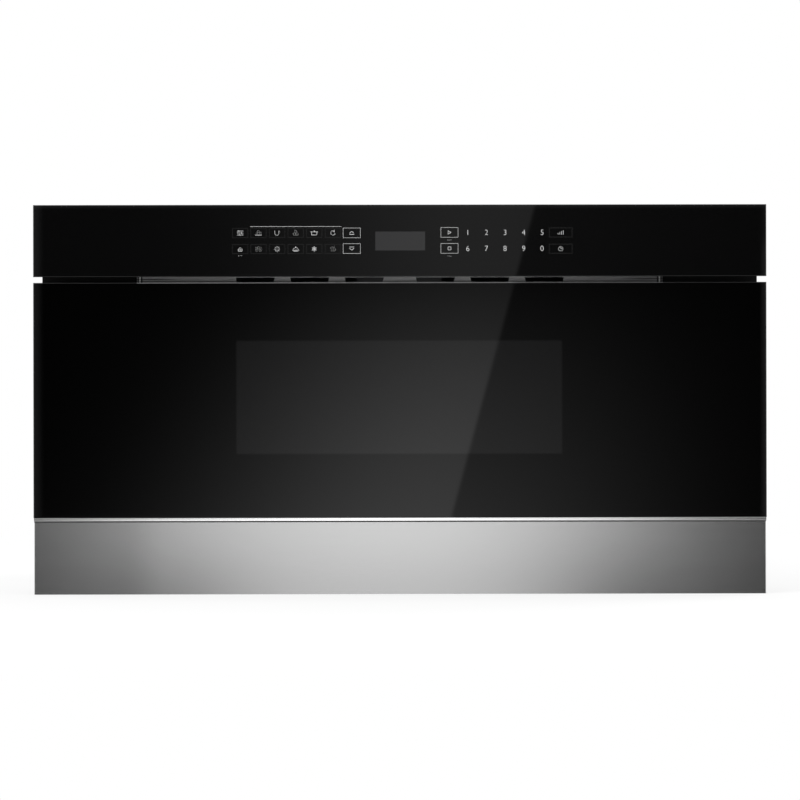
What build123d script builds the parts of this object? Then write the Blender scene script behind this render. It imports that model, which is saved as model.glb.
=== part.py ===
from build123d import *
from math import acos, cos, pi, radians, sin, tan
import os

# Built-in microwave drawer, 30 inch class, in millimetres.
# X runs to the right, Y runs back into the cabinet and Z runs up.
# The origin is on the centreline, where the plane of the cabinet's face meets the
# platform that the case stands on. The front hangs over both: it reaches to -Y and below zero.

# ---------------------------------------------------------------- driving dimensions
# Overlay front
front_width = 759.0
front_depth = 38.0
front_drop = 12.0
glass_thickness = 4.0
glass_edge = 0.6
panel_glass_height = 74.5
panel_gap = 6.0
band_height = 74.5
band_inset = 0.75
band_sheet = 1.2
band_return = 18.0
band_corner = 0.8
strip_height = 3.1
strip_groove = 1.4
strip_tongue = 1.2
strip_proud = 0.4
strip_inset = 0.5

# Door frame behind the glass
frame_side_inset = 6.0
frame_end_inset = 1.5
frame_foot_inset = 4.0
frame_wall = 2.5
frame_back = 2.0
frame_rear_gap = 12.0
frame_bays = 6
strip_rib_overlap = 4.5
door_top_margin = 5.5

# Window and choke round the drawer's front
window_width = 337.0
window_height = 117.0
window_lift = 31.0
screen_border = 6.0
screen_sheet = 0.6
choke_width = 25.0
choke_depth = 26.0
choke_sheet = 1.0
choke_slot_width = 3.0
choke_slot_pitch = 24.0
choke_cover_thickness = 2.0
choke_face_gap = 0.5

# Drawer tub
tub_inner_width = 440.0
tub_inner_depth = 434.0
tub_front_recess = 10.0
tub_sheet = 1.0
tub_side_height = 150.0
tub_corner = 24.0
tub_floor_bend = 4.0
tub_rim = 3.0
tub_shoulder = 34.0
floor_plate_thickness = 4.0
floor_plate_gap = 1.5

# Oven cavity round the tub
cavity_height = 185.0
cavity_sheet = 1.0
tub_side_gap = 5.0
tub_floor_gap = 2.0
tub_back_gap = 6.0
plug_top_gap = 5.0

# Case
case_sheet = 1.0
base_sheet = 1.2
side_bay_width = 48.0
rear_bay_clearance = 7.5
case_flange = 13.0
flange_sheet = 1.5
flange_drop = 6.0
flange_top_inset = 7.0
wing_side_inset = 6.5
wing_return = 20.0
mount_screw_edge = 6.0
mount_screw_radius = 2.25
mount_screw_spacing = 250.0
mount_screw_lift = 40.0

# Vent strip in the gap under the control panel
vent_slot_count = 6
vent_slot_width = 38.2
vent_slot_flare = 2.8
vent_slot_height = 4.9
vent_slot_lift = 4.8
vent_slot_pitch = 56.8
vent_centre_rib = 36.0
vent_window_width = 44.0
vent_sill = 1.5
vent_tab_width = 1.5
vent_tab_inset = 3.0
vent_tab_proud = 2.0
vent_sheet = 1.0
vent_stand_off = 5.5
vent_choke_gap = 2.0

# Control panel
housing_wall = 2.5
housing_gap = 1.5
display_width = 51.5
display_height = 19.8
display_border = 2.5
display_depth = 10.0
display_gap = 1.0
touch_board_width = 372.0
touch_board_height = 46.0
board_thickness = 1.6
control_board_width = 300.0
control_board_height = 52.0
standoff_height = 6.0
standoff_radius = 3.0
standoff_inset = 6.0
relay_size = 15.0
relay_height = 10.0
relay_pitch = 40.0
relay_row_pitch = 24.0
relay_count = 5

# Telescopic slides
slide_overlap = 70.0
slide_height = 45.0
slide_thickness = 12.7
slide_sheet = 1.2
slide_centre_height = 60.0
slide_front_gap = 4.0
slide_foot_width = 14.0
ball_radius = 1.35
ball_clearance = 0.3
cage_sheet = 0.4
cage_strip = 1.0
cage_length = 240.0
cage_start = 105.0
ball_count = 8
drawer_travel = 380.0

# Rack drive
rack_module = 1.5
rack_teeth_margin = 10.0
rack_back = 5.0
rack_face = 12.0
pinion_teeth = 16
pinion_face = 14.0
pinion_hub_radius = 7.0
wheel_module = 1.0
wheel_teeth = 56
wheel_face = 6.0
motor_gear_teeth = 16
pressure_angle = 20.0
addendum_factor = 0.9
dedendum_factor = 1.25
tooth_play = 0.15
running_clearance = 0.05
drive_setback = 60.0
drive_pin_radius = 3.0
deck_height = 14.0
bracket_sheet = 1.5
gear_gap = 1.5
motor_radius = 16.0
motor_height = 55.0
motor_shaft_radius = 1.5
motor_shaft_depth = 20.0
lower_bay_clearance = 16.8

# Latch hooks and interlock switches
hook_width = 10.0
hook_height = 10.0
hook_reach = 14.0
hook_inset = 15.0
hook_lift = 98.0
hook_slot_gap = 3.0
hook_notch_start = 4.0
hook_notch_length = 4.0
switch_gap = 0.3
switch_depth = 18.0
switch_height = 24.0
switch_width = 20.0
switch_plate = 2.0

# Microwave source, waveguide and stirrer
dome_size = 220.0
dome_height = 20.0
stirrer_setback = 218.0
stirrer_radius = 92.0
stirrer_blades = 5
stirrer_blade_width = 26.0
stirrer_hub_radius = 30.0
stirrer_sheet = 1.0
stirrer_drop = 6.0
stirrer_shaft_radius = 3.0
stirrer_cover_border = 10.0
stirrer_cover_thickness = 1.5
stirrer_motor_radius = 24.0
stirrer_motor_height = 20.0
stirrer_motor_ears = 72.0
stirrer_motor_ear_width = 12.0
upper_bay_clearance = 5.0
waveguide_width = 92.0
waveguide_height = 40.0
waveguide_end = 40.0
coupling_radius = 15.0
magnetron_width = 95.0
magnetron_depth = 80.0
magnetron_height = 124.0
magnetron_plate = 2.0
magnetron_anode_radius = 20.0
magnetron_antenna_radius = 8.0
magnetron_antenna_height = 24.0
magnetron_port_radius = 16.0
magnetron_filter_height = 30.0
fin_count = 10
fin_thickness = 1.0

# Cooling fan
fan_frame = 130.0
fan_plate = 2.0
fan_opening_radius = 56.0
fan_ring_depth = 22.0
fan_ring_wall = 2.0
fan_tip_gap = 2.0
fan_blades = 7
fan_hub_radius = 14.0
fan_hub_gap = 4.0
blade_thickness = 2.0
blade_root_pitch = 35.0
blade_tip_pitch = 22.0
fan_shaft_radius = 2.0
fan_motor_radius = 22.0
fan_motor_length = 28.0
fan_spider_gap = 8.0
fan_spider = 3.0
fan_spider_width = 8.0
air_duct_length = 60.0
air_duct_wall = 1.5
air_duct_height = 88.0

# Power supply, sensors and lamp
transformer_width = 100.0
transformer_core_depth = 72.0
transformer_coil_depth = 108.0
transformer_height = 88.0
transformer_coil_inset = 16.0
transformer_offset = 175.0
capacitor_width = 52.0
capacitor_height = 32.0
capacitor_length = 96.0
capacitor_offset = 88.0
clamp_width = 32.0
clamp_ear = 1.0
diode_radius = 4.0
diode_length = 24.0
diode_plate = 2.0
diode_gap = 12.0
filter_board_width = 70.0
filter_board_height = 66.0
filter_board_lift = 70.0
filter_coil_radius = 11.0
filter_coil_height = 11.0
filter_coil_pitch = 28.0
filter_stand_inset = 6.0
gland_radius = 5.0
gland_collar_radius = 9.0
gland_flange_radius = 13.0
gland_flange = 3.0
gland_inside = 8.0
gland_offset = 200.0
gland_lift = 36.0
lamp_width = 32.0
lamp_height = 36.0
lamp_ears = 48.0
lamp_ear_width = 14.0
lamp_bore_radius = 11.0
lamp_bore_depth = 18.0
lamp_offset = 168.0
lamp_setback = 330.0
lamp_hole_radius = 1.5
lamp_hole_pitch = 5.0
lamp_hole_rows = 5
sensor_size = 18.0
sensor_depth = 9.0
sensor_ears = 32.0
sensor_ear_width = 9.0
sensor_hole_pitch = 5.0
sensor_setback = 360.0
sensor_lift = 150.0
sensor_hole_radius = 1.5

# Louvres and fixings of the case
louvre_length = 42.0
louvre_width = 4.0
louvre_pitch = 10.0
louvre_column_pitch = 50.0
louvre_rows = 9
louvre_columns = 3
top_louvre_columns = 5
bead_length = 300.0
bead_width = 22.0
bead_height = 2.0
bead_spacing = 150.0
screw_head_radius = 3.6
screw_head_height = 1.8
screw_shank_radius = 1.5
screw_hole_gap = 0.3
screw_length = 5.0
rear_screw_rows = 3
top_screw_rows = 4

# ---------------------------------------------------------------- derived places
# Heights
lower_deck_top = base_sheet + deck_height + bracket_sheet
wheel_bottom = lower_deck_top + gear_gap
wheel_top = wheel_bottom + wheel_face
upper_deck_bottom = wheel_top + gear_gap
motor_bottom = upper_deck_bottom + bracket_sheet
cavity_floor_bottom = motor_bottom + motor_height + lower_bay_clearance
cavity_floor_top = cavity_floor_bottom + cavity_sheet
cavity_roof_bottom = cavity_floor_top + cavity_height
cavity_roof_top = cavity_roof_bottom + cavity_sheet
tub_bottom = cavity_floor_top + tub_floor_gap
tub_floor_top = tub_bottom + tub_sheet
tub_side_top = tub_bottom + tub_side_height
plug_top = cavity_roof_bottom - plug_top_gap
choke_bottom = tub_bottom - choke_width
choke_top = plug_top + choke_width
door_top = choke_top + door_top_margin
door_bottom = -front_drop
band_top = door_bottom + band_height
strip_bottom = band_top + strip_groove
door_glass_bottom = strip_bottom + strip_height
panel_bottom = door_top + panel_gap
panel_top = panel_bottom + panel_glass_height
dome_top = cavity_roof_top + dome_height
waveguide_top = dome_top + waveguide_height
stirrer_motor_top = waveguide_top + stirrer_motor_height
case_roof_bottom = stirrer_motor_top + upper_bay_clearance
case_top = case_roof_bottom + case_sheet
window_bottom = tub_bottom + window_lift
window_top = window_bottom + window_height

# Half widths
front_half = front_width / 2
frame_half = front_half - frame_side_inset
tub_inner_half = tub_inner_width / 2
tub_half = tub_inner_half + tub_sheet
cavity_half = tub_half + tub_side_gap
cavity_outer_half = cavity_half + cavity_sheet
case_inner_half = cavity_outer_half + side_bay_width
case_half = case_inner_half + case_sheet
choke_half = tub_half + choke_width
wing_half = front_half - wing_side_inset
window_half = window_width / 2

# Depths, from the front to the rear
front_y = -front_depth
glass_back_y = front_y + glass_thickness
door_back_y = -frame_rear_gap
choke_cover_back_y = -flange_sheet - choke_face_gap
choke_back_y = choke_cover_back_y - choke_cover_thickness
tub_inner_front_y = -tub_front_recess
tub_front_y = tub_inner_front_y - tub_sheet
tub_inner_back_y = tub_inner_front_y + tub_inner_depth
tub_back_y = tub_inner_back_y + tub_sheet
cavity_back_y = tub_back_y + tub_back_gap
cavity_outer_back_y = cavity_back_y + cavity_sheet
rear_bay_depth = fan_frame + 2 * rear_bay_clearance
case_inner_back_y = cavity_outer_back_y + rear_bay_depth
case_back_y = case_inner_back_y + case_sheet
rear_bay_centre_y = cavity_outer_back_y + rear_bay_depth / 2

# Slides: every section is nested inside the one before it, with a row of balls between
ball_gap = 2 * (ball_radius + ball_clearance)
slide_mid_height = slide_height - 2 * slide_sheet - 2 * ball_gap
slide_inner_height = slide_mid_height - 2 * slide_sheet - 2 * ball_gap
cage_side_gap = cage_sheet + 2 * ball_clearance
slide_outer_web = case_inner_half - slide_sheet
slide_mid_web_out = slide_outer_web - cage_side_gap
slide_mid_web_in = slide_mid_web_out - slide_sheet
slide_inner_lip = slide_mid_web_in - cage_sheet - 4 * ball_clearance
slide_face = case_inner_half - slide_thickness
slide_length = drawer_travel + slide_overlap

# Rack and gears
rack_pitch_x = slide_face - rack_back - dedendum_factor * rack_module
pinion_pitch_radius = rack_module * pinion_teeth / 2
drive_x = rack_pitch_x - pinion_pitch_radius
gear_distance = wheel_module * (wheel_teeth + motor_gear_teeth) / 2
motor_x = drive_x - gear_distance
wheel_tip_radius = wheel_module * (wheel_teeth / 2 + addendum_factor)
rack_tip_x = rack_pitch_x - addendum_factor * rack_module

# Cooling
duct_left_x = -magnetron_width / 2 - air_duct_length
fan_centre_z = dome_top - fan_frame / 2


# ---------------------------------------------------------------- shared shapes
def slab(x, y, z, mode=Mode.ADD):
    """A box between a low and a high value along each axis."""
    with Locations(((x[0] + x[1]) / 2, (y[0] + y[1]) / 2, (z[0] + z[1]) / 2)):
        Box(x[1] - x[0], y[1] - y[0], z[1] - z[0], mode=mode)


def rect(across, up, mode=Mode.ADD):
    """A rectangle between a low and a high value along each axis of the sketch."""
    with Locations(((across[0] + across[1]) / 2, (up[0] + up[1]) / 2)):
        Rectangle(across[1] - across[0], up[1] - up[0], mode=mode)


def both(low, high):
    """The span from low to high on the right, and its mirror image on the left."""
    return ((low, high), (-high, -low))


def facing_front(y):
    """A sketch plane across the object at this depth, whose extrusions grow towards the front."""
    return Plane.XZ.offset(-y)


def spread(low, high, count):
    """Places evenly spread between two ends, both included."""
    return [low + (high - low) * step / (count - 1) for step in range(count)]


def involute(angle):
    """How far an involute has unrolled at this pressure angle, in radians."""
    return tan(angle) - angle


def gear_sketch(module, teeth, turn):
    """A spur gear with involute flanks, one tooth turned to the angle given in degrees."""
    pitch_radius = module * teeth / 2
    base_radius = pitch_radius * cos(radians(pressure_angle))
    root_radius = pitch_radius - dedendum_factor * module
    tip_radius = pitch_radius + addendum_factor * module
    start_radius = max(base_radius, root_radius)
    half_gap = (pi * module / 2 - tooth_play) / (2 * pitch_radius)
    half_tooth = half_gap + involute(radians(pressure_angle))
    flank = []
    for radius in spread(start_radius, tip_radius, 5):
        half_angle = half_tooth - involute(acos(base_radius / radius))
        flank.append((radius * cos(half_angle), radius * sin(half_angle)))
    foot_angle = half_tooth - involute(acos(base_radius / start_radius))
    foot_radius = root_radius - module / 4
    foot = (foot_radius * cos(foot_angle), foot_radius * sin(foot_angle))
    with BuildSketch(mode=Mode.PRIVATE) as tooth:
        with BuildLine():
            Line(foot, flank[0])
            Spline(*flank)
            Line(flank[-1], (flank[-1][0], -flank[-1][1]))
            Spline(*[(x, -y) for x, y in reversed(flank)])
            Line((flank[0][0], -flank[0][1]), (foot[0], -foot[1]))
            Line((foot[0], -foot[1]), foot)
        make_face()
    Circle(root_radius)
    with PolarLocations(0, teeth, start_angle=turn):
        add(tooth.sketch)


# ---------------------------------------------------------------- control panel, fixed
with BuildPart() as control_glass:
    with BuildSketch(facing_front(glass_back_y)):
        rect((-front_half, front_half), (panel_bottom, panel_top))
    extrude(amount=glass_thickness)
    chamfer(control_glass.faces().sort_by(Axis.Y)[0].edges(), glass_edge)

housing_bottom = panel_bottom + housing_gap
housing_top = panel_top - housing_gap
housing_back_y = -flange_sheet
housing_floor_y = housing_back_y - housing_wall
with BuildPart() as control_housing:
    slab((-frame_half, frame_half), (glass_back_y, housing_back_y), (housing_bottom, housing_top))
    slab(
        (-frame_half + housing_wall, frame_half - housing_wall),
        (glass_back_y, housing_floor_y),
        (housing_bottom + housing_wall, housing_top - housing_wall),
        mode=Mode.SUBTRACT,
    )
    rib_low = touch_board_width / 2 + housing_wall
    for rib in both(rib_low, rib_low + housing_wall):
        slab(rib, (glass_back_y, housing_floor_y), (housing_bottom, housing_top))

panel_centre_z = (panel_bottom + panel_top) / 2
with BuildPart() as display_module:
    with BuildSketch(facing_front(glass_back_y + display_depth)):
        with Locations((0, panel_centre_z)):
            Rectangle(display_width + 2 * display_border, display_height + 2 * display_border)
    extrude(amount=display_depth)

with BuildPart() as touch_sensor_board:
    with BuildSketch(facing_front(glass_back_y + board_thickness)):
        with Locations((0, panel_centre_z)):
            Rectangle(touch_board_width, touch_board_height)
            Rectangle(
                display_width + 2 * display_border + 2 * display_gap,
                display_height + 2 * display_border + 2 * display_gap,
                mode=Mode.SUBTRACT,
            )
    extrude(amount=board_thickness)

board_back_y = housing_floor_y - standoff_height
board_front_y = board_back_y - board_thickness
with BuildPart() as control_board:
    with BuildSketch(facing_front(board_back_y)):
        with Locations((0, panel_centre_z)):
            Rectangle(control_board_width, control_board_height)
    extrude(amount=board_thickness)
    standoff_x = control_board_width / 2 - standoff_inset
    standoff_z = control_board_height / 2 - standoff_inset
    with BuildSketch(facing_front(housing_floor_y)):
        with Locations((0, panel_centre_z)):
            with GridLocations(2 * standoff_x, 2 * standoff_z, 2, 2):
                Circle(standoff_radius)
    extrude(amount=standoff_height)
    with BuildSketch(facing_front(board_front_y)):
        with Locations((0, panel_centre_z)):
            with GridLocations(relay_pitch, relay_row_pitch, relay_count, 2):
                Rectangle(relay_size, relay_size)
    extrude(amount=min(relay_height, board_front_y - glass_back_y - display_depth))

# ---------------------------------------------------------------- chassis front
slide_slot_low = rack_tip_x - ball_clearance * 4
slide_slot_high = case_inner_half - slide_sheet
slide_slot_half_height = slide_mid_height / 2 + slide_sheet
hook_centre_x = case_inner_half - hook_inset
hook_centre_z = tub_bottom + hook_lift
vent_bottom = choke_top + vent_choke_gap
vent_slot_bottom = vent_bottom + vent_slot_lift
vent_first = (vent_centre_rib + vent_slot_width) / 2
vent_places = [vent_first + vent_slot_pitch * step for step in range(vent_slot_count // 2)]
vent_centres = vent_places + [-place for place in vent_places]
flange_top = panel_top - flange_top_inset
with BuildPart() as front_plate:
    with BuildSketch(Plane.XZ):
        rect((-case_half, case_half), (-flange_drop, flange_top))
        rect((-cavity_half, cavity_half), (cavity_floor_top, cavity_roof_bottom), mode=Mode.SUBTRACT)
        for slot in both(slide_slot_low, slide_slot_high):
            slot_low = slide_centre_height - slide_slot_half_height
            slot_high = slide_centre_height + slide_slot_half_height
            rect(slot, (slot_low, slot_high), mode=Mode.SUBTRACT)
        hook_slot = hook_width / 2 + hook_slot_gap
        for slot in both(hook_centre_x - hook_slot, hook_centre_x + hook_slot):
            slot_half = hook_height / 2 + hook_slot_gap
            rect(slot, (hook_centre_z - slot_half, hook_centre_z + slot_half), mode=Mode.SUBTRACT)
        for centre in vent_centres:
            window = (centre - vent_window_width / 2, centre + vent_window_width / 2)
            rect(window, (vent_bottom + vent_sill, housing_bottom), mode=Mode.SUBTRACT)
    extrude(amount=flange_sheet)

mount_screw_x = wing_half - mount_screw_edge
mount_screw_rows = (mount_screw_lift, mount_screw_lift + mount_screw_spacing)
with BuildPart() as flange_wing_right:
    with BuildSketch(Plane.XZ):
        rect((case_half, wing_half), (-flange_drop, flange_top))
        with Locations(*[(mount_screw_x, row) for row in mount_screw_rows]):
            Circle(mount_screw_radius, mode=Mode.SUBTRACT)
    extrude(amount=flange_sheet)
    slab((case_half, case_half + flange_sheet), (0, wing_return), (base_sheet, case_roof_bottom))

with BuildPart() as flange_wing_left:
    add(mirror(flange_wing_right.part, about=Plane.YZ))

# The vent strip stands in front of the chassis. Its slots widen upwards, and a tab is folded
# forwards near each end.
vent_half = case_half - flange_sheet
vent_back_y = -flange_sheet - vent_stand_off + vent_sheet
with BuildPart() as vent_grille:
    with BuildSketch(facing_front(vent_back_y)):
        rect((-vent_half, vent_half), (vent_bottom, housing_bottom))
        slot_foot = vent_slot_width / 2
        slot_head = vent_slot_width / 2 + vent_slot_flare / 2
        with Locations(*[(centre, vent_slot_bottom) for centre in vent_centres]):
            Polygon(
                (-slot_foot, 0),
                (slot_foot, 0),
                (slot_head, vent_slot_height),
                (-slot_head, vent_slot_height),
                align=None,
                mode=Mode.SUBTRACT,
            )
    extrude(amount=vent_sheet)
    with BuildSketch(facing_front(vent_back_y)):
        tab_outer = vent_half - vent_tab_inset
        for tab in both(tab_outer - vent_tab_width, tab_outer):
            rect(tab, (vent_bottom, housing_bottom))
    extrude(amount=vent_sheet + vent_tab_proud)
    slab((-vent_half, vent_half), (vent_back_y, -flange_sheet), (vent_bottom, vent_bottom + vent_sheet))

# ---------------------------------------------------------------- oven cavity
with BuildPart() as cavity_floor:
    slab(
        (-cavity_outer_half, cavity_outer_half),
        (0, cavity_outer_back_y),
        (cavity_floor_bottom, cavity_floor_top),
    )

sensor_z = cavity_floor_top + sensor_lift
with BuildPart() as cavity_right_wall:
    with BuildSketch(Plane.YZ.offset(cavity_half)):
        rect((0, cavity_outer_back_y), (cavity_floor_top, cavity_roof_bottom))
    extrude(amount=cavity_sheet)

with BuildPart() as cavity_left_wall:
    with BuildSketch(Plane.YZ.offset(-cavity_outer_half)):
        rect((0, cavity_outer_back_y), (cavity_floor_top, cavity_roof_bottom))
        with Locations((sensor_setback, sensor_z)):
            with GridLocations(sensor_hole_pitch, sensor_hole_pitch, 3, 3):
                Circle(sensor_hole_radius, mode=Mode.SUBTRACT)
    extrude(amount=cavity_sheet)

with BuildPart() as cavity_rear_wall:
    slab(
        (-cavity_half, cavity_half),
        (cavity_back_y, cavity_outer_back_y),
        (cavity_floor_top, cavity_roof_bottom),
    )

# The roof has a raised dome for the stirrer, and small holes under the lamp
dome_half = dome_size / 2
with BuildPart() as cavity_roof:
    slab(
        (-cavity_outer_half, cavity_outer_half),
        (0, cavity_outer_back_y),
        (cavity_roof_bottom, cavity_roof_top),
    )
    dome_y = (stirrer_setback - dome_half, stirrer_setback + dome_half)
    slab((-dome_half, dome_half), dome_y, (cavity_roof_bottom, dome_top))
    slab(
        (-dome_half + cavity_sheet, dome_half - cavity_sheet),
        (dome_y[0] + cavity_sheet, dome_y[1] - cavity_sheet),
        (cavity_roof_bottom, dome_top - cavity_sheet),
        mode=Mode.SUBTRACT,
    )
    with Locations((0, stirrer_setback, dome_top)):
        Hole(coupling_radius, depth=2 * cavity_sheet)
    with Locations((lamp_offset, lamp_setback, cavity_roof_top)):
        with GridLocations(lamp_hole_pitch, lamp_hole_pitch, lamp_hole_rows, lamp_hole_rows):
            Hole(lamp_hole_radius, depth=2 * cavity_sheet)

with BuildPart() as stirrer_cover:
    with BuildSketch(Plane.XY.offset(cavity_roof_bottom - stirrer_cover_thickness)):
        with Locations((0, stirrer_setback)):
            RectangleRounded(
                dome_size + 2 * stirrer_cover_border,
                dome_size + 2 * stirrer_cover_border,
                stirrer_cover_border,
            )
    extrude(amount=stirrer_cover_thickness)

# ---------------------------------------------------------------- microwave source and stirrer
waveguide_half = waveguide_width / 2
waveguide_front_y = stirrer_setback - waveguide_end - coupling_radius
waveguide_back_y = rear_bay_centre_y + magnetron_depth / 2
with BuildPart() as waveguide:
    slab((-waveguide_half, waveguide_half), (waveguide_front_y, waveguide_back_y), (dome_top, waveguide_top))
    slab(
        (-waveguide_half + cavity_sheet, waveguide_half - cavity_sheet),
        (waveguide_front_y + cavity_sheet, waveguide_back_y - cavity_sheet),
        (dome_top + cavity_sheet, waveguide_top - cavity_sheet),
        mode=Mode.SUBTRACT,
    )
    with Locations((0, stirrer_setback, dome_top + cavity_sheet)):
        Hole(coupling_radius, depth=2 * cavity_sheet)
    with Locations((0, stirrer_setback, waveguide_top)):
        Hole(stirrer_shaft_radius + screw_hole_gap, depth=2 * cavity_sheet)
    with Locations((0, rear_bay_centre_y, dome_top + cavity_sheet)):
        Hole(magnetron_port_radius, depth=2 * cavity_sheet)

stirrer_top = dome_top - cavity_sheet - stirrer_drop
stirrer_shaft_top = waveguide_top + stirrer_motor_height / 2
with BuildPart() as stirrer_antenna:
    with BuildSketch(Plane.XY.offset(stirrer_top - stirrer_sheet)):
        with Locations((0, stirrer_setback)):
            Circle(stirrer_hub_radius)
            with PolarLocations(stirrer_radius / 2, stirrer_blades):
                Rectangle(stirrer_radius, stirrer_blade_width)
            Circle(stirrer_radius, mode=Mode.INTERSECT)
    extrude(amount=stirrer_sheet)
    with BuildSketch(Plane.XY.offset(stirrer_top - stirrer_sheet)):
        with Locations((0, stirrer_setback)):
            Circle(stirrer_shaft_radius)
    extrude(amount=stirrer_shaft_top - stirrer_top + stirrer_sheet)

with BuildPart() as stirrer_motor:
    with BuildSketch(Plane.XY.offset(waveguide_top)):
        with Locations((0, stirrer_setback)):
            Circle(stirrer_motor_radius)
            SlotOverall(stirrer_motor_ears, stirrer_motor_ear_width)
    extrude(amount=cavity_sheet)
    with BuildSketch(Plane.XY.offset(waveguide_top)):
        with Locations((0, stirrer_setback)):
            Circle(stirrer_motor_radius)
    extrude(amount=stirrer_motor_height)
    bore_depth = stirrer_shaft_top - waveguide_top + stirrer_sheet
    with BuildSketch(Plane.XY.offset(waveguide_top)):
        with Locations((0, stirrer_setback)):
            Circle(stirrer_shaft_radius + running_clearance)
    extrude(amount=bore_depth, mode=Mode.SUBTRACT)

# The magnetron hangs under the waveguide: mounting plate, yoke, finned anode and filter box
magnetron_bottom = dome_top - magnetron_height
fin_bottom = magnetron_bottom + magnetron_filter_height
magnetron_x = (-magnetron_width / 2, magnetron_width / 2)
magnetron_y = (rear_bay_centre_y - magnetron_depth / 2, rear_bay_centre_y + magnetron_depth / 2)
with BuildPart() as magnetron:
    slab(magnetron_x, magnetron_y, (dome_top - magnetron_plate, dome_top))
    slab(magnetron_x, magnetron_y, (magnetron_bottom, fin_bottom))
    for side in magnetron_y:
        inward = magnetron_plate if side == magnetron_y[0] else -magnetron_plate
        slab(magnetron_x, sorted((side, side + inward)), (fin_bottom, dome_top))
    with Locations((0, rear_bay_centre_y, (fin_bottom + dome_top) / 2)):
        Cylinder(magnetron_anode_radius, dome_top - fin_bottom)
    for fin_z in spread(fin_bottom + 3 * fin_thickness, dome_top - 5 * fin_thickness, fin_count):
        slab(magnetron_x, magnetron_y, (fin_z, fin_z + fin_thickness))
    with Locations((0, rear_bay_centre_y, dome_top + magnetron_antenna_height / 2)):
        Cylinder(magnetron_antenna_radius, magnetron_antenna_height)

# ---------------------------------------------------------------- cooling fan and air duct
shroud_x = duct_left_x - fan_plate
ring_left_x = shroud_x - fan_ring_depth
spider_right_x = ring_left_x - fan_spider_gap
spider_left_x = spider_right_x - fan_spider
fan_axis = Plane.YZ.offset(shroud_x)
with BuildPart() as fan_shroud:
    with BuildSketch(fan_axis):
        rect((cavity_outer_back_y, case_inner_back_y), (dome_top - fan_frame, dome_top))
        with Locations((rear_bay_centre_y, fan_centre_z)):
            Circle(fan_opening_radius, mode=Mode.SUBTRACT)
    extrude(amount=fan_plate)
    with BuildSketch(Plane.YZ.offset(spider_left_x)):
        with Locations((rear_bay_centre_y, fan_centre_z)):
            Circle(fan_motor_radius)
            Rectangle(2 * fan_opening_radius + 2 * fan_ring_wall, fan_spider_width)
            Rectangle(fan_spider_width, 2 * fan_opening_radius + 2 * fan_ring_wall)
            Circle(fan_opening_radius + fan_ring_wall, mode=Mode.INTERSECT)
            Circle(2 * fan_shaft_radius, mode=Mode.SUBTRACT)
    extrude(amount=fan_spider)
    with BuildSketch(Plane.YZ.offset(ring_left_x)):
        with Locations((rear_bay_centre_y, fan_centre_z)):
            Circle(fan_opening_radius + fan_ring_wall)
            Circle(fan_opening_radius, mode=Mode.SUBTRACT)
    extrude(amount=fan_ring_depth)
    post = fan_opening_radius + fan_ring_wall / 2
    for across, up in ((post, 0), (-post, 0), (0, post), (0, -post)):
        with BuildSketch(Plane.YZ.offset(spider_left_x)):
            with Locations((rear_bay_centre_y + across, fan_centre_z + up)):
                Rectangle(
                    fan_ring_wall if across else fan_spider_width,
                    fan_ring_wall if up else fan_spider_width,
                )
        extrude(amount=fan_spider_gap + fan_spider + fan_ring_wall)

blade_radius = fan_opening_radius - fan_tip_gap
hub_left_x = ring_left_x - fan_hub_gap
hub_right_x = shroud_x - fan_hub_gap
with BuildPart() as fan_impeller:
    with BuildSketch(Plane.YZ.offset(hub_left_x)):
        with Locations((rear_bay_centre_y, fan_centre_z)):
            Circle(fan_hub_radius)
    extrude(amount=hub_right_x - hub_left_x)
    blade_chord = hub_right_x - hub_left_x
    blade_middle = ((hub_left_x + hub_right_x) / 2, rear_bay_centre_y, fan_centre_z)
    for step in range(fan_blades):
        turn = 2 * pi * step / fan_blades
        spoke = Plane(blade_middle, x_dir=(1, 0, 0), z_dir=(0, cos(turn), sin(turn)))
        with BuildSketch(spoke.offset(fan_hub_radius / 2)):
            Rectangle(blade_chord, blade_thickness, rotation=blade_root_pitch)
        with BuildSketch(spoke.offset(blade_radius - blade_thickness)):
            Rectangle(blade_chord, blade_thickness, rotation=blade_tip_pitch)
        loft()
    with BuildSketch(Plane.YZ.offset(spider_left_x - fan_motor_length / 2)):
        with Locations((rear_bay_centre_y, fan_centre_z)):
            Circle(fan_shaft_radius)
    extrude(amount=hub_left_x - spider_left_x + fan_motor_length / 2)

with BuildPart() as fan_motor:
    with BuildSketch(Plane.YZ.offset(spider_left_x - fan_motor_length)):
        with Locations((rear_bay_centre_y, fan_centre_z)):
            Circle(fan_motor_radius)
    extrude(amount=fan_motor_length)
    chamfer(fan_motor.faces().sort_by(Axis.X)[0].edges(), fan_motor_radius / 10)
    with BuildSketch(Plane.YZ.offset(spider_left_x)):
        with Locations((rear_bay_centre_y, fan_centre_z)):
            Circle(fan_shaft_radius + running_clearance)
    extrude(amount=-fan_motor_length / 2 - running_clearance, mode=Mode.SUBTRACT)

fin_centre_z = (fin_bottom + dome_top) / 2
duct_half_height = min(air_duct_height, dome_top - fin_bottom) / 2
with BuildPart() as air_duct:
    with BuildSketch(Plane.YZ.offset(duct_left_x)):
        with Locations((rear_bay_centre_y, fin_centre_z)):
            Rectangle(magnetron_depth, 2 * duct_half_height)
            Rectangle(
                magnetron_depth - 2 * air_duct_wall,
                2 * duct_half_height - 2 * air_duct_wall,
                mode=Mode.SUBTRACT,
            )
    extrude(amount=air_duct_length)

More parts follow.
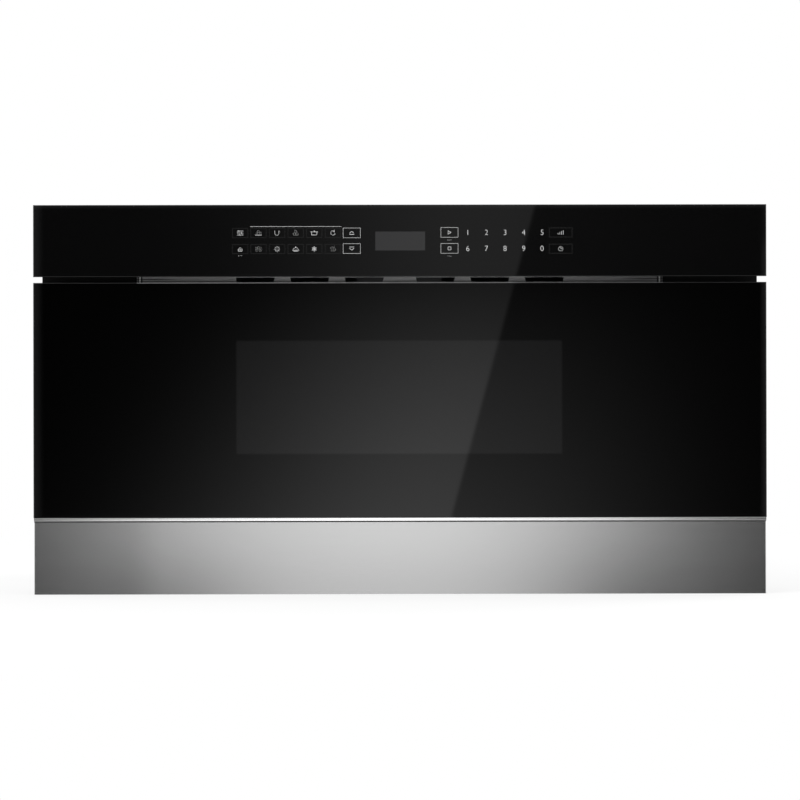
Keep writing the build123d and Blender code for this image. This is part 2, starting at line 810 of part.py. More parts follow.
# ---------------------------------------------------------------- power supply, sensors and lamp
with BuildPart() as hv_transformer:
    with Locations((transformer_offset, rear_bay_centre_y, base_sheet + transformer_height / 2)):
        Box(transformer_width, transformer_core_depth, transformer_height)
        Box(
            transformer_width - 2 * transformer_coil_inset,
            transformer_coil_depth,
            transformer_height - 2 * transformer_coil_inset,
        )
    fillet(hv_transformer.edges().filter_by(Axis.Z).group_by(Axis.Y)[0], transformer_coil_inset / 2)
    fillet(hv_transformer.edges().filter_by(Axis.Z).group_by(Axis.Y)[-1], transformer_coil_inset / 2)

capacitor_front_y = rear_bay_centre_y - capacitor_length / 2
with BuildPart() as hv_capacitor:
    with BuildSketch(facing_front(capacitor_front_y + capacitor_length)):
        with Locations((capacitor_offset, base_sheet + capacitor_height / 2)):
            SlotOverall(capacitor_width, capacitor_height)
    extrude(amount=capacitor_length)
    clamp_half = capacitor_width / 2 + clamp_ear
    clamp_y = (rear_bay_centre_y - clamp_width / 2, rear_bay_centre_y + clamp_width / 2)
    clamp_x = (capacitor_offset - clamp_half, capacitor_offset + clamp_half)
    slab(clamp_x, clamp_y, (base_sheet, base_sheet + case_sheet))

diode_x = capacitor_offset - capacitor_width / 2 - diode_gap - diode_radius
with BuildPart() as hv_diode:
    with BuildSketch(facing_front(rear_bay_centre_y + diode_length / 2)):
        with Locations((diode_x, base_sheet + diode_plate + diode_radius)):
            Circle(diode_radius)
    extrude(amount=diode_length)
    lug_x = (diode_x - diode_radius, diode_x + diode_radius)
    lug_y = (rear_bay_centre_y - diode_length / 2, rear_bay_centre_y + diode_length / 2)
    slab(lug_x, lug_y, (base_sheet, base_sheet + diode_plate + diode_radius))

filter_centre_z = filter_board_lift + filter_board_height / 2
filter_board_y = case_inner_back_y - standoff_height
with BuildPart() as noise_filter_board:
    with BuildSketch(facing_front(filter_board_y)):
        with Locations((-gland_offset, filter_centre_z)):
            Rectangle(filter_board_width, filter_board_height)
    extrude(amount=board_thickness)
    with BuildSketch(facing_front(case_inner_back_y)):
        with Locations((-gland_offset, filter_centre_z)):
            filter_stand_x = filter_board_width - 2 * filter_stand_inset
            filter_stand_z = filter_board_height - 2 * filter_stand_inset
            with GridLocations(filter_stand_x, filter_stand_z, 2, 2):
                Circle(standoff_radius)
    extrude(amount=standoff_height)
    with BuildSketch(facing_front(filter_board_y - board_thickness)):
        with Locations((-gland_offset, filter_centre_z)):
            with GridLocations(filter_coil_pitch, filter_coil_pitch, 2, 1):
                Circle(filter_coil_radius)
    extrude(amount=filter_coil_height)

with BuildPart() as cord_gland:
    with BuildSketch(facing_front(case_back_y + gland_flange)):
        with Locations((-gland_offset, gland_lift)):
            Circle(gland_flange_radius)
    extrude(amount=gland_flange)
    with BuildSketch(facing_front(case_back_y)):
        with Locations((-gland_offset, gland_lift)):
            Circle(gland_collar_radius)
    extrude(amount=case_sheet + gland_inside)
    with BuildSketch(facing_front(case_back_y + gland_flange)):
        with Locations((-gland_offset, gland_lift)):
            Circle(gland_radius)
    extrude(amount=gland_flange + case_sheet + gland_inside, mode=Mode.SUBTRACT)

with BuildPart() as oven_lamp:
    with BuildSketch(Plane.XY.offset(cavity_roof_top)):
        with Locations((lamp_offset, lamp_setback)):
            Rectangle(lamp_ears, lamp_ear_width)
    extrude(amount=cavity_sheet)
    with BuildSketch(Plane.XY.offset(cavity_roof_top)):
        with Locations((lamp_offset, lamp_setback)):
            RectangleRounded(lamp_width, lamp_width, lamp_width / 8)
    extrude(amount=lamp_height)
    with BuildSketch(Plane.XY.offset(cavity_roof_top)):
        with Locations((lamp_offset, lamp_setback)):
            Circle(lamp_bore_radius)
    extrude(amount=lamp_bore_depth, mode=Mode.SUBTRACT)

with BuildPart() as steam_sensor:
    with BuildSketch(Plane.YZ.offset(-cavity_outer_half)):
        with Locations((sensor_setback, sensor_z)):
            Rectangle(sensor_ears, sensor_ear_width)
    extrude(amount=-cavity_sheet)
    with BuildSketch(Plane.YZ.offset(-cavity_outer_half)):
        with Locations((sensor_setback, sensor_z)):
            Rectangle(sensor_size, sensor_size)
    extrude(amount=-sensor_depth)

# ---------------------------------------------------------------- case panels and their screws
def emboss(face, sheet, places):
    """Long beads pressed outwards into a sheet whose outer side is the given plane."""
    with BuildSketch(face) as bead:
        with Locations(*places):
            SlotOverall(bead_length, bead_width)
    extrude(bead.sketch, amount=bead_height)
    with BuildSketch(face.offset(-sheet)) as hollow:
        with Locations(*places):
            SlotOverall(bead_length - 2 * sheet, bead_width - 2 * sheet)
    extrude(hollow.sketch, amount=bead_height, mode=Mode.SUBTRACT)


with BuildPart() as base_plate:
    slab((-case_half, case_half), (0, case_back_y), (0, base_sheet))

screw_line = case_inner_half - case_flange / 2
top_screw_spots = [
    (side * screw_line, place)
    for side in (-1, 1)
    for place in spread(wing_return * 2, case_inner_back_y - wing_return * 2, top_screw_rows)
]
rear_screw_spots = [
    (side * screw_line, place)
    for side in (-1, 1)
    for place in spread(wing_return * 2, case_roof_bottom - wing_return * 2, rear_screw_rows)
]
screw_hole = screw_shank_radius + screw_hole_gap
with BuildPart() as right_side_panel:
    slab((case_inner_half, case_half), (0, case_inner_back_y), (base_sheet, case_roof_bottom))
    slab(
        (case_inner_half - case_flange, case_inner_half),
        (wing_return, case_inner_back_y),
        (case_roof_bottom - case_sheet, case_roof_bottom),
    )
    slab(
        (case_inner_half - case_flange, case_inner_half),
        (case_inner_back_y - case_sheet, case_inner_back_y),
        (base_sheet, case_roof_bottom),
    )
    middle_y = case_inner_back_y / 2
    middle_z = case_roof_bottom / 2
    bead_rows = [(middle_y, middle_z - bead_spacing / 2), (middle_y, middle_z + bead_spacing / 2)]
    emboss(Plane.YZ.offset(case_half), case_sheet, bead_rows)
    for x, y in top_screw_spots[top_screw_rows:]:
        with Locations((x, y, case_roof_bottom)):
            Hole(screw_hole, depth=2 * case_sheet)
    for x, z in rear_screw_spots[rear_screw_rows:]:
        with Locations(Location((x, case_inner_back_y, z), (90, 0, 0))):
            Hole(screw_hole, depth=2 * case_sheet)

with BuildPart() as left_side_panel:
    add(mirror(right_side_panel.part, about=Plane.YZ))

with BuildPart() as rear_panel:
    with BuildSketch(facing_front(case_back_y)):
        rect((-case_half, case_half), (base_sheet, case_roof_bottom))
        with Locations((-gland_offset, gland_lift)):
            Circle(gland_collar_radius, mode=Mode.SUBTRACT)
        with Locations(*rear_screw_spots):
            Circle(screw_hole, mode=Mode.SUBTRACT)
        with Locations((duct_left_x - louvre_length, fan_centre_z)):
            with GridLocations(louvre_column_pitch, louvre_pitch, louvre_columns, louvre_rows):
                SlotOverall(louvre_length, louvre_width, mode=Mode.SUBTRACT)
    extrude(amount=case_sheet)

with BuildPart() as top_cover:
    with BuildSketch(Plane.XY.offset(case_roof_bottom)):
        rect((-case_half, case_half), (0, case_back_y))
        with Locations(*top_screw_spots):
            Circle(screw_hole, mode=Mode.SUBTRACT)
        with Locations((0, stirrer_setback - dome_half)):
            with GridLocations(louvre_column_pitch, louvre_pitch, top_louvre_columns, louvre_rows):
                SlotOverall(louvre_length, louvre_width, mode=Mode.SUBTRACT)
    extrude(amount=case_sheet)
    bead_y = case_back_y - bead_spacing
    emboss(Plane.XY.offset(case_top), case_sheet, [(0, bead_y), (0, bead_y + bead_spacing / 2)])


def pan_head_screw():
    """A screw whose head sits on the XY plane of the location and whose shank points down."""
    Cylinder(screw_head_radius, screw_head_height, align=(Align.CENTER, Align.CENTER, Align.MIN))
    Cylinder(screw_shank_radius, screw_length, align=(Align.CENTER, Align.CENTER, Align.MAX))


with BuildPart() as case_screws:
    with Locations(*[(x, y, case_top) for x, y in top_screw_spots]):
        pan_head_screw()
    with Locations(*[Location((x, case_back_y, z), (-90, 0, 0)) for x, z in rear_screw_spots]):
        pan_head_screw()


# ---------------------------------------------------------------- telescopic slides
def channel(web_out, lip, height):
    """A C section on its side: the web's outer face, the lips' free edge and the height."""
    low = slide_centre_height - height / 2
    high = slide_centre_height + height / 2
    toward_lip = slide_sheet if lip > web_out else -slide_sheet
    rect(sorted((web_out, lip)), (low, high))
    rect(
        sorted((web_out + toward_lip, lip)),
        (low + slide_sheet, high - slide_sheet),
        mode=Mode.SUBTRACT,
    )


slide_back_y = slide_front_gap + slide_length
slide_mid_back_y = slide_back_y - slide_front_gap
slide_inner_back_y = slide_mid_back_y - slide_front_gap
outer_lip = slide_face + 2 * slide_sheet
with BuildPart() as slide_outer_right:
    with BuildSketch(facing_front(slide_back_y)):
        channel(case_inner_half, outer_lip, slide_height)
    extrude(amount=slide_length)

with BuildPart() as slide_mid_right:
    with BuildSketch(facing_front(slide_mid_back_y)):
        channel(slide_mid_web_out, outer_lip - slide_sheet, slide_mid_height)
    extrude(amount=slide_mid_back_y - slide_front_gap)

with BuildPart() as slide_inner_right:
    with BuildSketch(facing_front(slide_inner_back_y)):
        channel(slide_face, slide_inner_lip, slide_inner_height)
    extrude(amount=slide_inner_back_y - door_back_y)
    with BuildSketch(facing_front(door_back_y + slide_sheet)):
        rect(
            (slide_face - slide_foot_width, slide_face),
            (slide_centre_height - slide_inner_height / 2, slide_centre_height + slide_inner_height / 2),
        )
    extrude(amount=slide_sheet)

with BuildPart() as slide_outer_left:
    add(mirror(slide_outer_right.part, about=Plane.YZ))
with BuildPart() as slide_mid_left:
    add(mirror(slide_mid_right.part, about=Plane.YZ))
with BuildPart() as slide_inner_left:
    add(mirror(slide_inner_right.part, about=Plane.YZ))


def ball_cage(web_in, lip, outer_height, first_y):
    """A U-shaped cage with a row of balls above and below, between two nested sections."""
    web_out = web_in + cage_sheet
    row = outer_height / 2 - slide_sheet - ball_gap / 2
    web_half = row + cage_strip / 2
    slab(
        (web_in, web_out),
        (first_y, first_y + cage_length),
        (slide_centre_height - web_half, slide_centre_height + web_half),
    )
    ball_x = (lip + web_in) / 2
    for side in (-1, 1):
        middle = slide_centre_height + side * row
        slab(
            (lip, web_out),
            (first_y, first_y + cage_length),
            (middle - cage_strip / 2, middle + cage_strip / 2),
        )
        ball_end = cage_length / ball_count / 2
        ball_places = spread(first_y + ball_end, first_y + cage_length - ball_end, ball_count)
        with Locations(*[(ball_x, place, middle) for place in ball_places]):
            Sphere(ball_radius)


cage_lip = outer_lip + ball_clearance
with BuildPart() as ball_cages_outer:
    ball_cage(slide_mid_web_out + ball_clearance, cage_lip, slide_height, cage_start)
    add(mirror(ball_cages_outer.part, about=Plane.YZ))

with BuildPart() as ball_cages_inner:
    ball_cage(slide_inner_lip + 2 * ball_clearance, cage_lip, slide_mid_height, cage_start)
    add(mirror(ball_cages_inner.part, about=Plane.YZ))

# ---------------------------------------------------------------- rack drive
rack_pitch = pi * rack_module
with BuildPart() as drawer_rack:
    with BuildSketch(Plane.XY.offset(slide_centre_height - rack_face / 2)):
        rect((slide_face - rack_back, slide_face), (door_back_y + slide_sheet, slide_inner_back_y))
        half_root = (pi * rack_module / 2 - tooth_play) / 2
        slope = tan(radians(pressure_angle)) * rack_module
        tooth_count = int((drawer_travel + 2 * rack_teeth_margin) / rack_pitch)
        first_tooth = drive_setback - (int(rack_teeth_margin / rack_pitch) + 0.5) * rack_pitch
        tooth_spots = [(rack_pitch_x, first_tooth + step * rack_pitch) for step in range(tooth_count)]
        with Locations(*tooth_spots):
            Polygon(
                (-addendum_factor * rack_module, half_root - addendum_factor * slope),
                (-addendum_factor * rack_module, -half_root + addendum_factor * slope),
                (dedendum_factor * rack_module, -half_root - dedendum_factor * slope),
                (dedendum_factor * rack_module, half_root + dedendum_factor * slope),
                align=None,
            )
    extrude(amount=rack_face)

pinion_bottom = slide_centre_height - pinion_face / 2
pinion_top = slide_centre_height + pinion_face / 2
with BuildPart() as drive_gear:
    with BuildSketch(Plane.XY.offset(wheel_bottom)):
        with Locations((drive_x, drive_setback)):
            gear_sketch(wheel_module, wheel_teeth, 0)
    extrude(amount=wheel_face)
    with BuildSketch(Plane.XY.offset(wheel_top)):
        with Locations((drive_x, drive_setback)):
            Circle(pinion_hub_radius)
    extrude(amount=pinion_bottom - wheel_top)
    with BuildSketch(Plane.XY.offset(pinion_bottom)):
        with Locations((drive_x, drive_setback)):
            gear_sketch(rack_module, pinion_teeth, 0)
    extrude(amount=pinion_face)
    with BuildSketch(Plane.XY.offset(wheel_bottom)):
        with Locations((drive_x, drive_setback)):
            Circle(drive_pin_radius + running_clearance)
    extrude(amount=pinion_top - wheel_bottom, mode=Mode.SUBTRACT)

with BuildPart() as motor_pinion:
    with BuildSketch(Plane.XY.offset(wheel_bottom)):
        with Locations((motor_x, drive_setback)):
            gear_sketch(wheel_module, motor_gear_teeth, 180 / motor_gear_teeth)
    extrude(amount=wheel_face)
    with BuildSketch(Plane.XY.offset(wheel_top)):
        with Locations((motor_x, drive_setback)):
            Circle(motor_shaft_radius)
    extrude(amount=motor_bottom - wheel_top + motor_shaft_depth)

with BuildPart() as drive_motor:
    with BuildSketch(Plane.XY.offset(motor_bottom)):
        with Locations((motor_x, drive_setback)):
            Circle(motor_radius)
    extrude(amount=motor_height)
    fillet(drive_motor.faces().sort_by(Axis.Z)[-1].edges(), motor_radius / 8)
    with BuildSketch(Plane.XY.offset(motor_bottom)):
        with Locations((motor_x, drive_setback)):
            Circle(motor_shaft_radius + running_clearance)
    extrude(amount=motor_shaft_depth + gear_gap, mode=Mode.SUBTRACT)

bracket_half = wheel_tip_radius + 2 * gear_gap
bracket_left = motor_x - motor_radius - 2 * gear_gap
bracket_right = drive_x + pinion_hub_radius + gear_gap
upper_deck_right = drive_x - pinion_hub_radius - 3 * gear_gap
with BuildPart() as gear_bracket:
    for wall in both(bracket_half, bracket_half + bracket_sheet):
        wall_y = (drive_setback + wall[0], drive_setback + wall[1])
        slab((bracket_left, bracket_right), wall_y, (base_sheet, lower_deck_top))
        slab((bracket_left, upper_deck_right), wall_y, (lower_deck_top, motor_bottom))
    for foot in both(bracket_half, bracket_half + 6 * bracket_sheet):
        foot_y = (drive_setback + foot[0], drive_setback + foot[1])
        slab((bracket_left, bracket_right), foot_y, (base_sheet, base_sheet + bracket_sheet))
    deck_y = (drive_setback - bracket_half, drive_setback + bracket_half)
    slab((bracket_left, bracket_right), deck_y, (lower_deck_top - bracket_sheet, lower_deck_top))
    slab((bracket_left, upper_deck_right), deck_y, (upper_deck_bottom, motor_bottom))
    with BuildSketch(Plane.XY.offset(upper_deck_bottom)):
        with Locations((motor_x, drive_setback)):
            Circle(3 * motor_shaft_radius)
    extrude(amount=bracket_sheet, mode=Mode.SUBTRACT)
    with BuildSketch(Plane.XY.offset(lower_deck_top)):
        with Locations((drive_x, drive_setback)):
            Circle(drive_pin_radius)
    extrude(amount=pinion_top - lower_deck_top + gear_gap)

# ---------------------------------------------------------------- drawer front
with BuildPart() as door_glass:
    with BuildSketch(facing_front(glass_back_y)):
        rect((-front_half, front_half), (door_glass_bottom, door_top))
    extrude(amount=glass_thickness)
    chamfer(door_glass.faces().sort_by(Axis.Y)[0].edges(), glass_edge)

# The trim strip has a tongue behind the groove, which rests on the band
strip_half = front_half - strip_inset
tongue_y = glass_back_y - strip_tongue
with BuildPart() as door_trim_strip:
    slab((-strip_half, strip_half), (front_y - strip_proud, glass_back_y), (strip_bottom, door_glass_bottom))
    fillet(door_trim_strip.edges().filter_by(Axis.X).group_by(Axis.Y)[0], strip_height / 8)
    slab((-strip_half, strip_half), (tongue_y, glass_back_y), (band_top, strip_bottom))

# The steel band is a shallow pan: a face with returns along its foot and its two ends
band_half = front_half - band_inset
band_back_y = front_y + band_sheet
with BuildPart() as door_steel_band:
    slab((-band_half, band_half), (front_y, front_y + band_return), (door_bottom, band_top))
    slab(
        (-band_half + band_sheet, band_half - band_sheet),
        (band_back_y, front_y + band_return),
        (door_bottom + band_sheet, band_top),
        mode=Mode.SUBTRACT,
    )
    lip_half = band_half - band_sheet
    slab((-lip_half, lip_half), (band_back_y, glass_back_y), (band_top - band_sheet, band_top))
    fillet(door_steel_band.edges().filter_by(Axis.Z).group_by(Axis.Y)[0].group_by(Axis.X)[0], band_corner)
    fillet(door_steel_band.edges().filter_by(Axis.Z).group_by(Axis.Y)[0].group_by(Axis.X)[-1], band_corner)

# The frame carries the glass, the strip and the band. Beside the choke it is a tray closed by
# the glass, and behind the band it is open to the rear, with ribs and a post for each slide.
frame_bottom = door_bottom + frame_foot_inset
frame_top = door_top - frame_end_inset
frame_floor_y = door_back_y - frame_back
rib_bottom = strip_bottom - strip_rib_overlap
rib_top = door_glass_bottom + strip_rib_overlap
pocket_low = choke_half + frame_wall
pocket_high = frame_half - frame_wall
post_inner = slide_face - slide_foot_width - frame_wall
post_outer = case_inner_half + frame_wall
with BuildPart() as door_frame:
    slab((-frame_half, frame_half), (glass_back_y, door_back_y), (frame_bottom, frame_top))
    slab((-frame_half, frame_half), (band_back_y, glass_back_y), (frame_bottom, band_top - band_sheet))
    choke_z = (choke_bottom, choke_top)
    slab((-choke_half, choke_half), (glass_back_y, door_back_y), choke_z, mode=Mode.SUBTRACT)
    for pocket in both(pocket_low, pocket_high):
        slab(pocket, (glass_back_y, frame_floor_y), (rib_top, frame_top - frame_wall), mode=Mode.SUBTRACT)
    band_y = (glass_back_y, door_back_y)
    band_z = (frame_bottom + frame_wall, rib_bottom)
    for bay in both(post_outer, pocket_high):
        slab(bay, band_y, band_z, mode=Mode.SUBTRACT)
    bay_width = (2 * post_inner - (frame_bays - 1) * frame_wall) / frame_bays
    for bay in range(frame_bays):
        bay_left = -post_inner + bay * (bay_width + frame_wall)
        slab((bay_left, bay_left + bay_width), band_y, band_z, mode=Mode.SUBTRACT)
    for end in (0, -1):
        row = door_frame.edges().filter_by(Axis.Y).group_by(Axis.Z)[end]
        fillet(row.group_by(Axis.X)[0] + row.group_by(Axis.X)[-1], frame_wall)


def choke_ring(shrink):
    """The ring round the drawer's mouth seen from the front, drawn in by this much on both sides."""
    rect((-choke_half + shrink, choke_half - shrink), (choke_bottom + shrink, choke_top - shrink))
    mouth = tub_half + shrink
    rect((-mouth, mouth), (tub_bottom - shrink, plug_top + shrink), mode=Mode.SUBTRACT)


# The choke is a channel open to the rear, cut into a comb along its inner lip
comb_half_x = tub_half - choke_slot_pitch / 2
comb_low_z = tub_bottom + choke_slot_pitch / 2
comb_high_z = plug_top - choke_slot_pitch / 2
comb_y = (choke_back_y - choke_depth / 2, choke_back_y)
with BuildPart() as choke_frame:
    with BuildSketch(facing_front(choke_back_y)):
        choke_ring(0)
    extrude(amount=choke_depth)
    with BuildSketch(facing_front(choke_back_y)):
        choke_ring(choke_sheet)
    extrude(amount=choke_depth - choke_sheet, mode=Mode.SUBTRACT)
    comb_across = int(2 * comb_half_x / choke_slot_pitch) + 1
    comb_along = int((comb_high_z - comb_low_z) / choke_slot_pitch) + 1
    for place in spread(-comb_half_x, comb_half_x, comb_across):
        slot = (place - choke_slot_width / 2, place + choke_slot_width / 2)
        slab(slot, comb_y, (plug_top, plug_top + choke_sheet), mode=Mode.SUBTRACT)
        slab(slot, comb_y, (tub_bottom - choke_sheet, tub_bottom), mode=Mode.SUBTRACT)
    for place in spread(comb_low_z, comb_high_z, comb_along):
        slot = (place - choke_slot_width / 2, place + choke_slot_width / 2)
        for lip in both(tub_half, tub_half + choke_sheet):
            slab(lip, comb_y, slot, mode=Mode.SUBTRACT)

with BuildPart() as choke_cover:
    with BuildSketch(facing_front(choke_cover_back_y)):
        choke_ring(0)
    extrude(amount=choke_cover_thickness)

with BuildPart() as door_screen:
    with BuildSketch(facing_front(tub_front_y)):
        rect(
            (-window_half - screen_border, window_half + screen_border),
            (window_bottom - screen_border, window_top + screen_border),
        )
    extrude(amount=screen_sheet)

with BuildPart() as latch_hooks:
    for side in (-1, 1):
        hook_x = (side * hook_centre_x - hook_width / 2, side * hook_centre_x + hook_width / 2)
        hook_z = (hook_centre_z - hook_height / 2, hook_centre_z + hook_height / 2)
        slab(hook_x, (door_back_y, hook_reach), hook_z)
        notch_y = (hook_notch_start, hook_notch_start + hook_notch_length)
        slab(hook_x, notch_y, (hook_centre_z, hook_z[1]), mode=Mode.SUBTRACT)

switch_front_y = hook_reach + switch_gap
with BuildPart() as interlock_switches:
    for side in (-1, 1):
        centre_x = side * hook_centre_x
        body_x = (centre_x - switch_width / 2, centre_x + switch_width / 2)
        body_y = (switch_front_y, switch_front_y + switch_depth)
        body_z = (hook_centre_z - switch_height / 2, hook_centre_z + switch_height / 2)
        slab(body_x, body_y, body_z)
        for plate_z in both(switch_height / 2, switch_height / 2 + switch_plate):
            slab(body_x, (0, body_y[1]), (hook_centre_z + plate_z[0], hook_centre_z + plate_z[1]))

# ---------------------------------------------------------------- drawer tub
with BuildPart() as tub_hollow:
    with BuildSketch(Plane.XY.offset(tub_floor_top)) as hollow_outline:
        rect((-tub_inner_half, tub_inner_half), (tub_inner_front_y, tub_inner_back_y))
        fillet(hollow_outline.vertices().group_by(Axis.Y)[-1], tub_corner - tub_sheet)
    extrude(amount=plug_top - tub_floor_top)
    fillet(tub_hollow.faces().sort_by(Axis.Z)[0].edges(), tub_floor_bend - tub_sheet)

# The side walls fall from the front wall's height to their own, over a sloping shoulder
with BuildPart() as drawer_tub:
    with BuildSketch(Plane.XY.offset(tub_bottom)) as tub_outline:
        rect((-tub_half, tub_half), (tub_front_y, tub_back_y))
        fillet(tub_outline.vertices().group_by(Axis.Y)[-1], tub_corner)
    extrude(amount=plug_top - tub_bottom)
    fillet(drawer_tub.faces().sort_by(Axis.Z)[0].edges(), tub_floor_bend)
    add(tub_hollow.part, mode=Mode.SUBTRACT)
    shoulder_y = tub_inner_front_y + tub_shoulder / 2
    rim_front_y = shoulder_y + plug_top - tub_side_top
    with BuildSketch(Plane.YZ.offset(-tub_half)):
        with BuildLine():
            Polyline(
                (shoulder_y, plug_top),
                (rim_front_y, tub_side_top),
                (tub_back_y, tub_side_top),
                (tub_back_y, plug_top),
                close=True,
            )
        make_face()
    extrude(amount=2 * tub_half, mode=Mode.SUBTRACT)
    with BuildSketch(facing_front(tub_inner_front_y)):
        rect((-window_half, window_half), (window_bottom, window_top))
    extrude(amount=tub_sheet, mode=Mode.SUBTRACT)
    with BuildSketch(Plane.XY.offset(tub_side_top - tub_sheet)) as rim_outline:
        rect((-tub_half - tub_rim, tub_half + tub_rim), (rim_front_y, tub_back_y + tub_rim))
        fillet(rim_outline.vertices().group_by(Axis.Y)[-1], tub_corner + tub_rim)
        add(hollow_outline.sketch_local, mode=Mode.SUBTRACT)
    extrude(amount=tub_sheet)

plate_inset = tub_floor_bend - tub_sheet + floor_plate_gap
with BuildPart() as tub_floor_plate:
    with BuildSketch(Plane.XY.offset(tub_floor_top)) as plate_outline:
        rect(
            (-tub_inner_half + plate_inset, tub_inner_half - plate_inset),
            (tub_inner_front_y + plate_inset, tub_inner_back_y - plate_inset),
        )
        fillet(plate_outline.vertices().group_by(Axis.Y)[-1], tub_corner - plate_inset)
    extrude(amount=floor_plate_thickness)
    chamfer(tub_floor_plate.faces().sort_by(Axis.Z)[-1].edges(), glass_edge)

# ---------------------------------------------------------------- files
pieces = {
    "control_glass": control_glass,
    "control_housing": control_housing,
    "display_module": display_module,
    "touch_sensor_board": touch_sensor_board,
    "control_board": control_board,
    "front_plate": front_plate,
    "flange_wing_right": flange_wing_right,
    "flange_wing_left": flange_wing_left,
    "vent_grille": vent_grille,
    "cavity_floor": cavity_floor,
    "cavity_right_wall": cavity_right_wall,
    "cavity_left_wall": cavity_left_wall,
    "cavity_rear_wall": cavity_rear_wall,
    "cavity_roof": cavity_roof,
    "stirrer_cover": stirrer_cover,
    "waveguide": waveguide,
    "stirrer_antenna": stirrer_antenna,
    "stirrer_motor": stirrer_motor,
    "magnetron": magnetron,
    "fan_shroud": fan_shroud,
    "fan_impeller": fan_impeller,
    "fan_motor": fan_motor,
    "air_duct": air_duct,
    "hv_transformer": hv_transformer,
    "hv_capacitor": hv_capacitor,
    "hv_diode": hv_diode,
    "noise_filter_board": noise_filter_board,
    "cord_gland": cord_gland,
    "oven_lamp": oven_lamp,
    "steam_sensor": steam_sensor,
    "base_plate": base_plate,
    "right_side_panel": right_side_panel,
    "left_side_panel": left_side_panel,
    "rear_panel": rear_panel,
    "top_cover": top_cover,
    "case_screws": case_screws,
    "slide_outer_right": slide_outer_right,
    "slide_outer_left": slide_outer_left,
    "slide_mid_right": slide_mid_right,
    "slide_mid_left": slide_mid_left,
    "slide_inner_right": slide_inner_right,
    "slide_inner_left": slide_inner_left,
    "ball_cages_outer": ball_cages_outer,
    "ball_cages_inner": ball_cages_inner,
    "drawer_rack": drawer_rack,
    "drive_gear": drive_gear,
    "motor_pinion": motor_pinion,
    "drive_motor": drive_motor,
    "gear_bracket": gear_bracket,
    "door_glass": door_glass,
    "door_trim_strip": door_trim_strip,
    "door_steel_band": door_steel_band,
    "door_frame": door_frame,
    "choke_frame": choke_frame,
    "choke_cover": choke_cover,
    "door_screen": door_screen,
    "latch_hooks": latch_hooks,
    "interlock_switches": interlock_switches,
    "drawer_tub": drawer_tub,
    "tub_floor_plate": tub_floor_plate,
}

os.makedirs("parts", exist_ok=True)
for name, piece in pieces.items():
    piece.part.label = name
    export_step(piece.part, f"parts/{name}.step")
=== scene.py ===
# %% [markdown]
# A drawer microwave is a steel box that hides in a kitchen cabinet. What people see is its front: a black
# glass control panel, a black glass drawer front and a band of brushed steel. The engineering model already
# holds every piece at its real place, so this lesson dresses it: light, finishes and printed marks.
# The frame is loaded first, because everything else is measured from it.

# %% Load the frame
import math

import bmesh
import bpy
from mathutils import Matrix, Vector


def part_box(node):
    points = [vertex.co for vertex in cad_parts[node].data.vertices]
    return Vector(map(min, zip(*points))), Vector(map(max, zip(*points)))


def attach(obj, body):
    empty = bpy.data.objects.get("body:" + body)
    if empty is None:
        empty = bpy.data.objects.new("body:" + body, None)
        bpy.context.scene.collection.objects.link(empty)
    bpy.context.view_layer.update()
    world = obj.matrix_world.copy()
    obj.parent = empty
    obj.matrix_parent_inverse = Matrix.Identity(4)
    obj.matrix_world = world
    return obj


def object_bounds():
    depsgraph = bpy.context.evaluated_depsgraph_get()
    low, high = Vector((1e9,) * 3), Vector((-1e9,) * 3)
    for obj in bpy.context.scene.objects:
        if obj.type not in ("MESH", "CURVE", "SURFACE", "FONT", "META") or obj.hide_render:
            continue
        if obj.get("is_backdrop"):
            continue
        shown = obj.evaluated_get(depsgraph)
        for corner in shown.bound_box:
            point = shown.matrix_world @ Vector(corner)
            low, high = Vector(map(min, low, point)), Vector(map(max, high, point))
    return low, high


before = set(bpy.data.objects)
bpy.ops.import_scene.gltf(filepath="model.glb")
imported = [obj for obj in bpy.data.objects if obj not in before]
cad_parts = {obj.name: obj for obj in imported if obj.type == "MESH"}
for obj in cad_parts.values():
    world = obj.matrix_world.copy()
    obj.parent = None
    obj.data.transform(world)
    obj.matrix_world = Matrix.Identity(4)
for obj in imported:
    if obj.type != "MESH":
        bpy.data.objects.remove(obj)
cad_box = [list(corner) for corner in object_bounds()]
print("pieces in the frame:", len(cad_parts), "box:", cad_box)

# %% [markdown]
# The picture was taken square on, from far away with a long lens, so the front looks almost like a drawing.
# A camera could be placed by eye, but the corners of the two glasses give it closely: 181 mm of lens at
# 4.2 m, a hair left of the middle and turned a third of a degree back.

# %% Camera
scene = bpy.context.scene
CAMERA_PLACE = (-0.0239, -4.2, 0.1866)
CAMERA_YAW, CAMERA_PITCH, CAMERA_ROLL = (math.radians(angle) for angle in (0.327, 0.030, -0.096))
LENS_MM, SENSOR_MM, FAR_LIMIT = 180.96, 36.0, 200.0
lens = bpy.data.cameras.new("long_lens")
lens.lens, lens.sensor_width, lens.clip_end = LENS_MM, SENSOR_MM, FAR_LIMIT
camera = bpy.data.objects.new("camera", lens)
scene.collection.objects.link(camera)
camera.matrix_world = (
    Matrix.Translation(CAMERA_PLACE)
    @ Matrix.Rotation(-CAMERA_YAW, 4, "Z")
    @ Matrix.Rotation(math.pi / 2 + CAMERA_PITCH, 4, "X")
    @ Matrix.Rotation(CAMERA_ROLL, 4, "Z")
)
scene.camera = camera
scene.view_settings.view_transform = "Standard"
print("camera at", CAMERA_PLACE, "lens", lens.lens, "mm")


# %% [markdown]
# A finish in Blender is a small network of nodes. Written by hand each node takes four or five lines, so the
# lesson wraps one output socket in a class: sums of wires add the Math nodes, and one method makes any other
# node from its kind, its settings and what goes into its sockets.

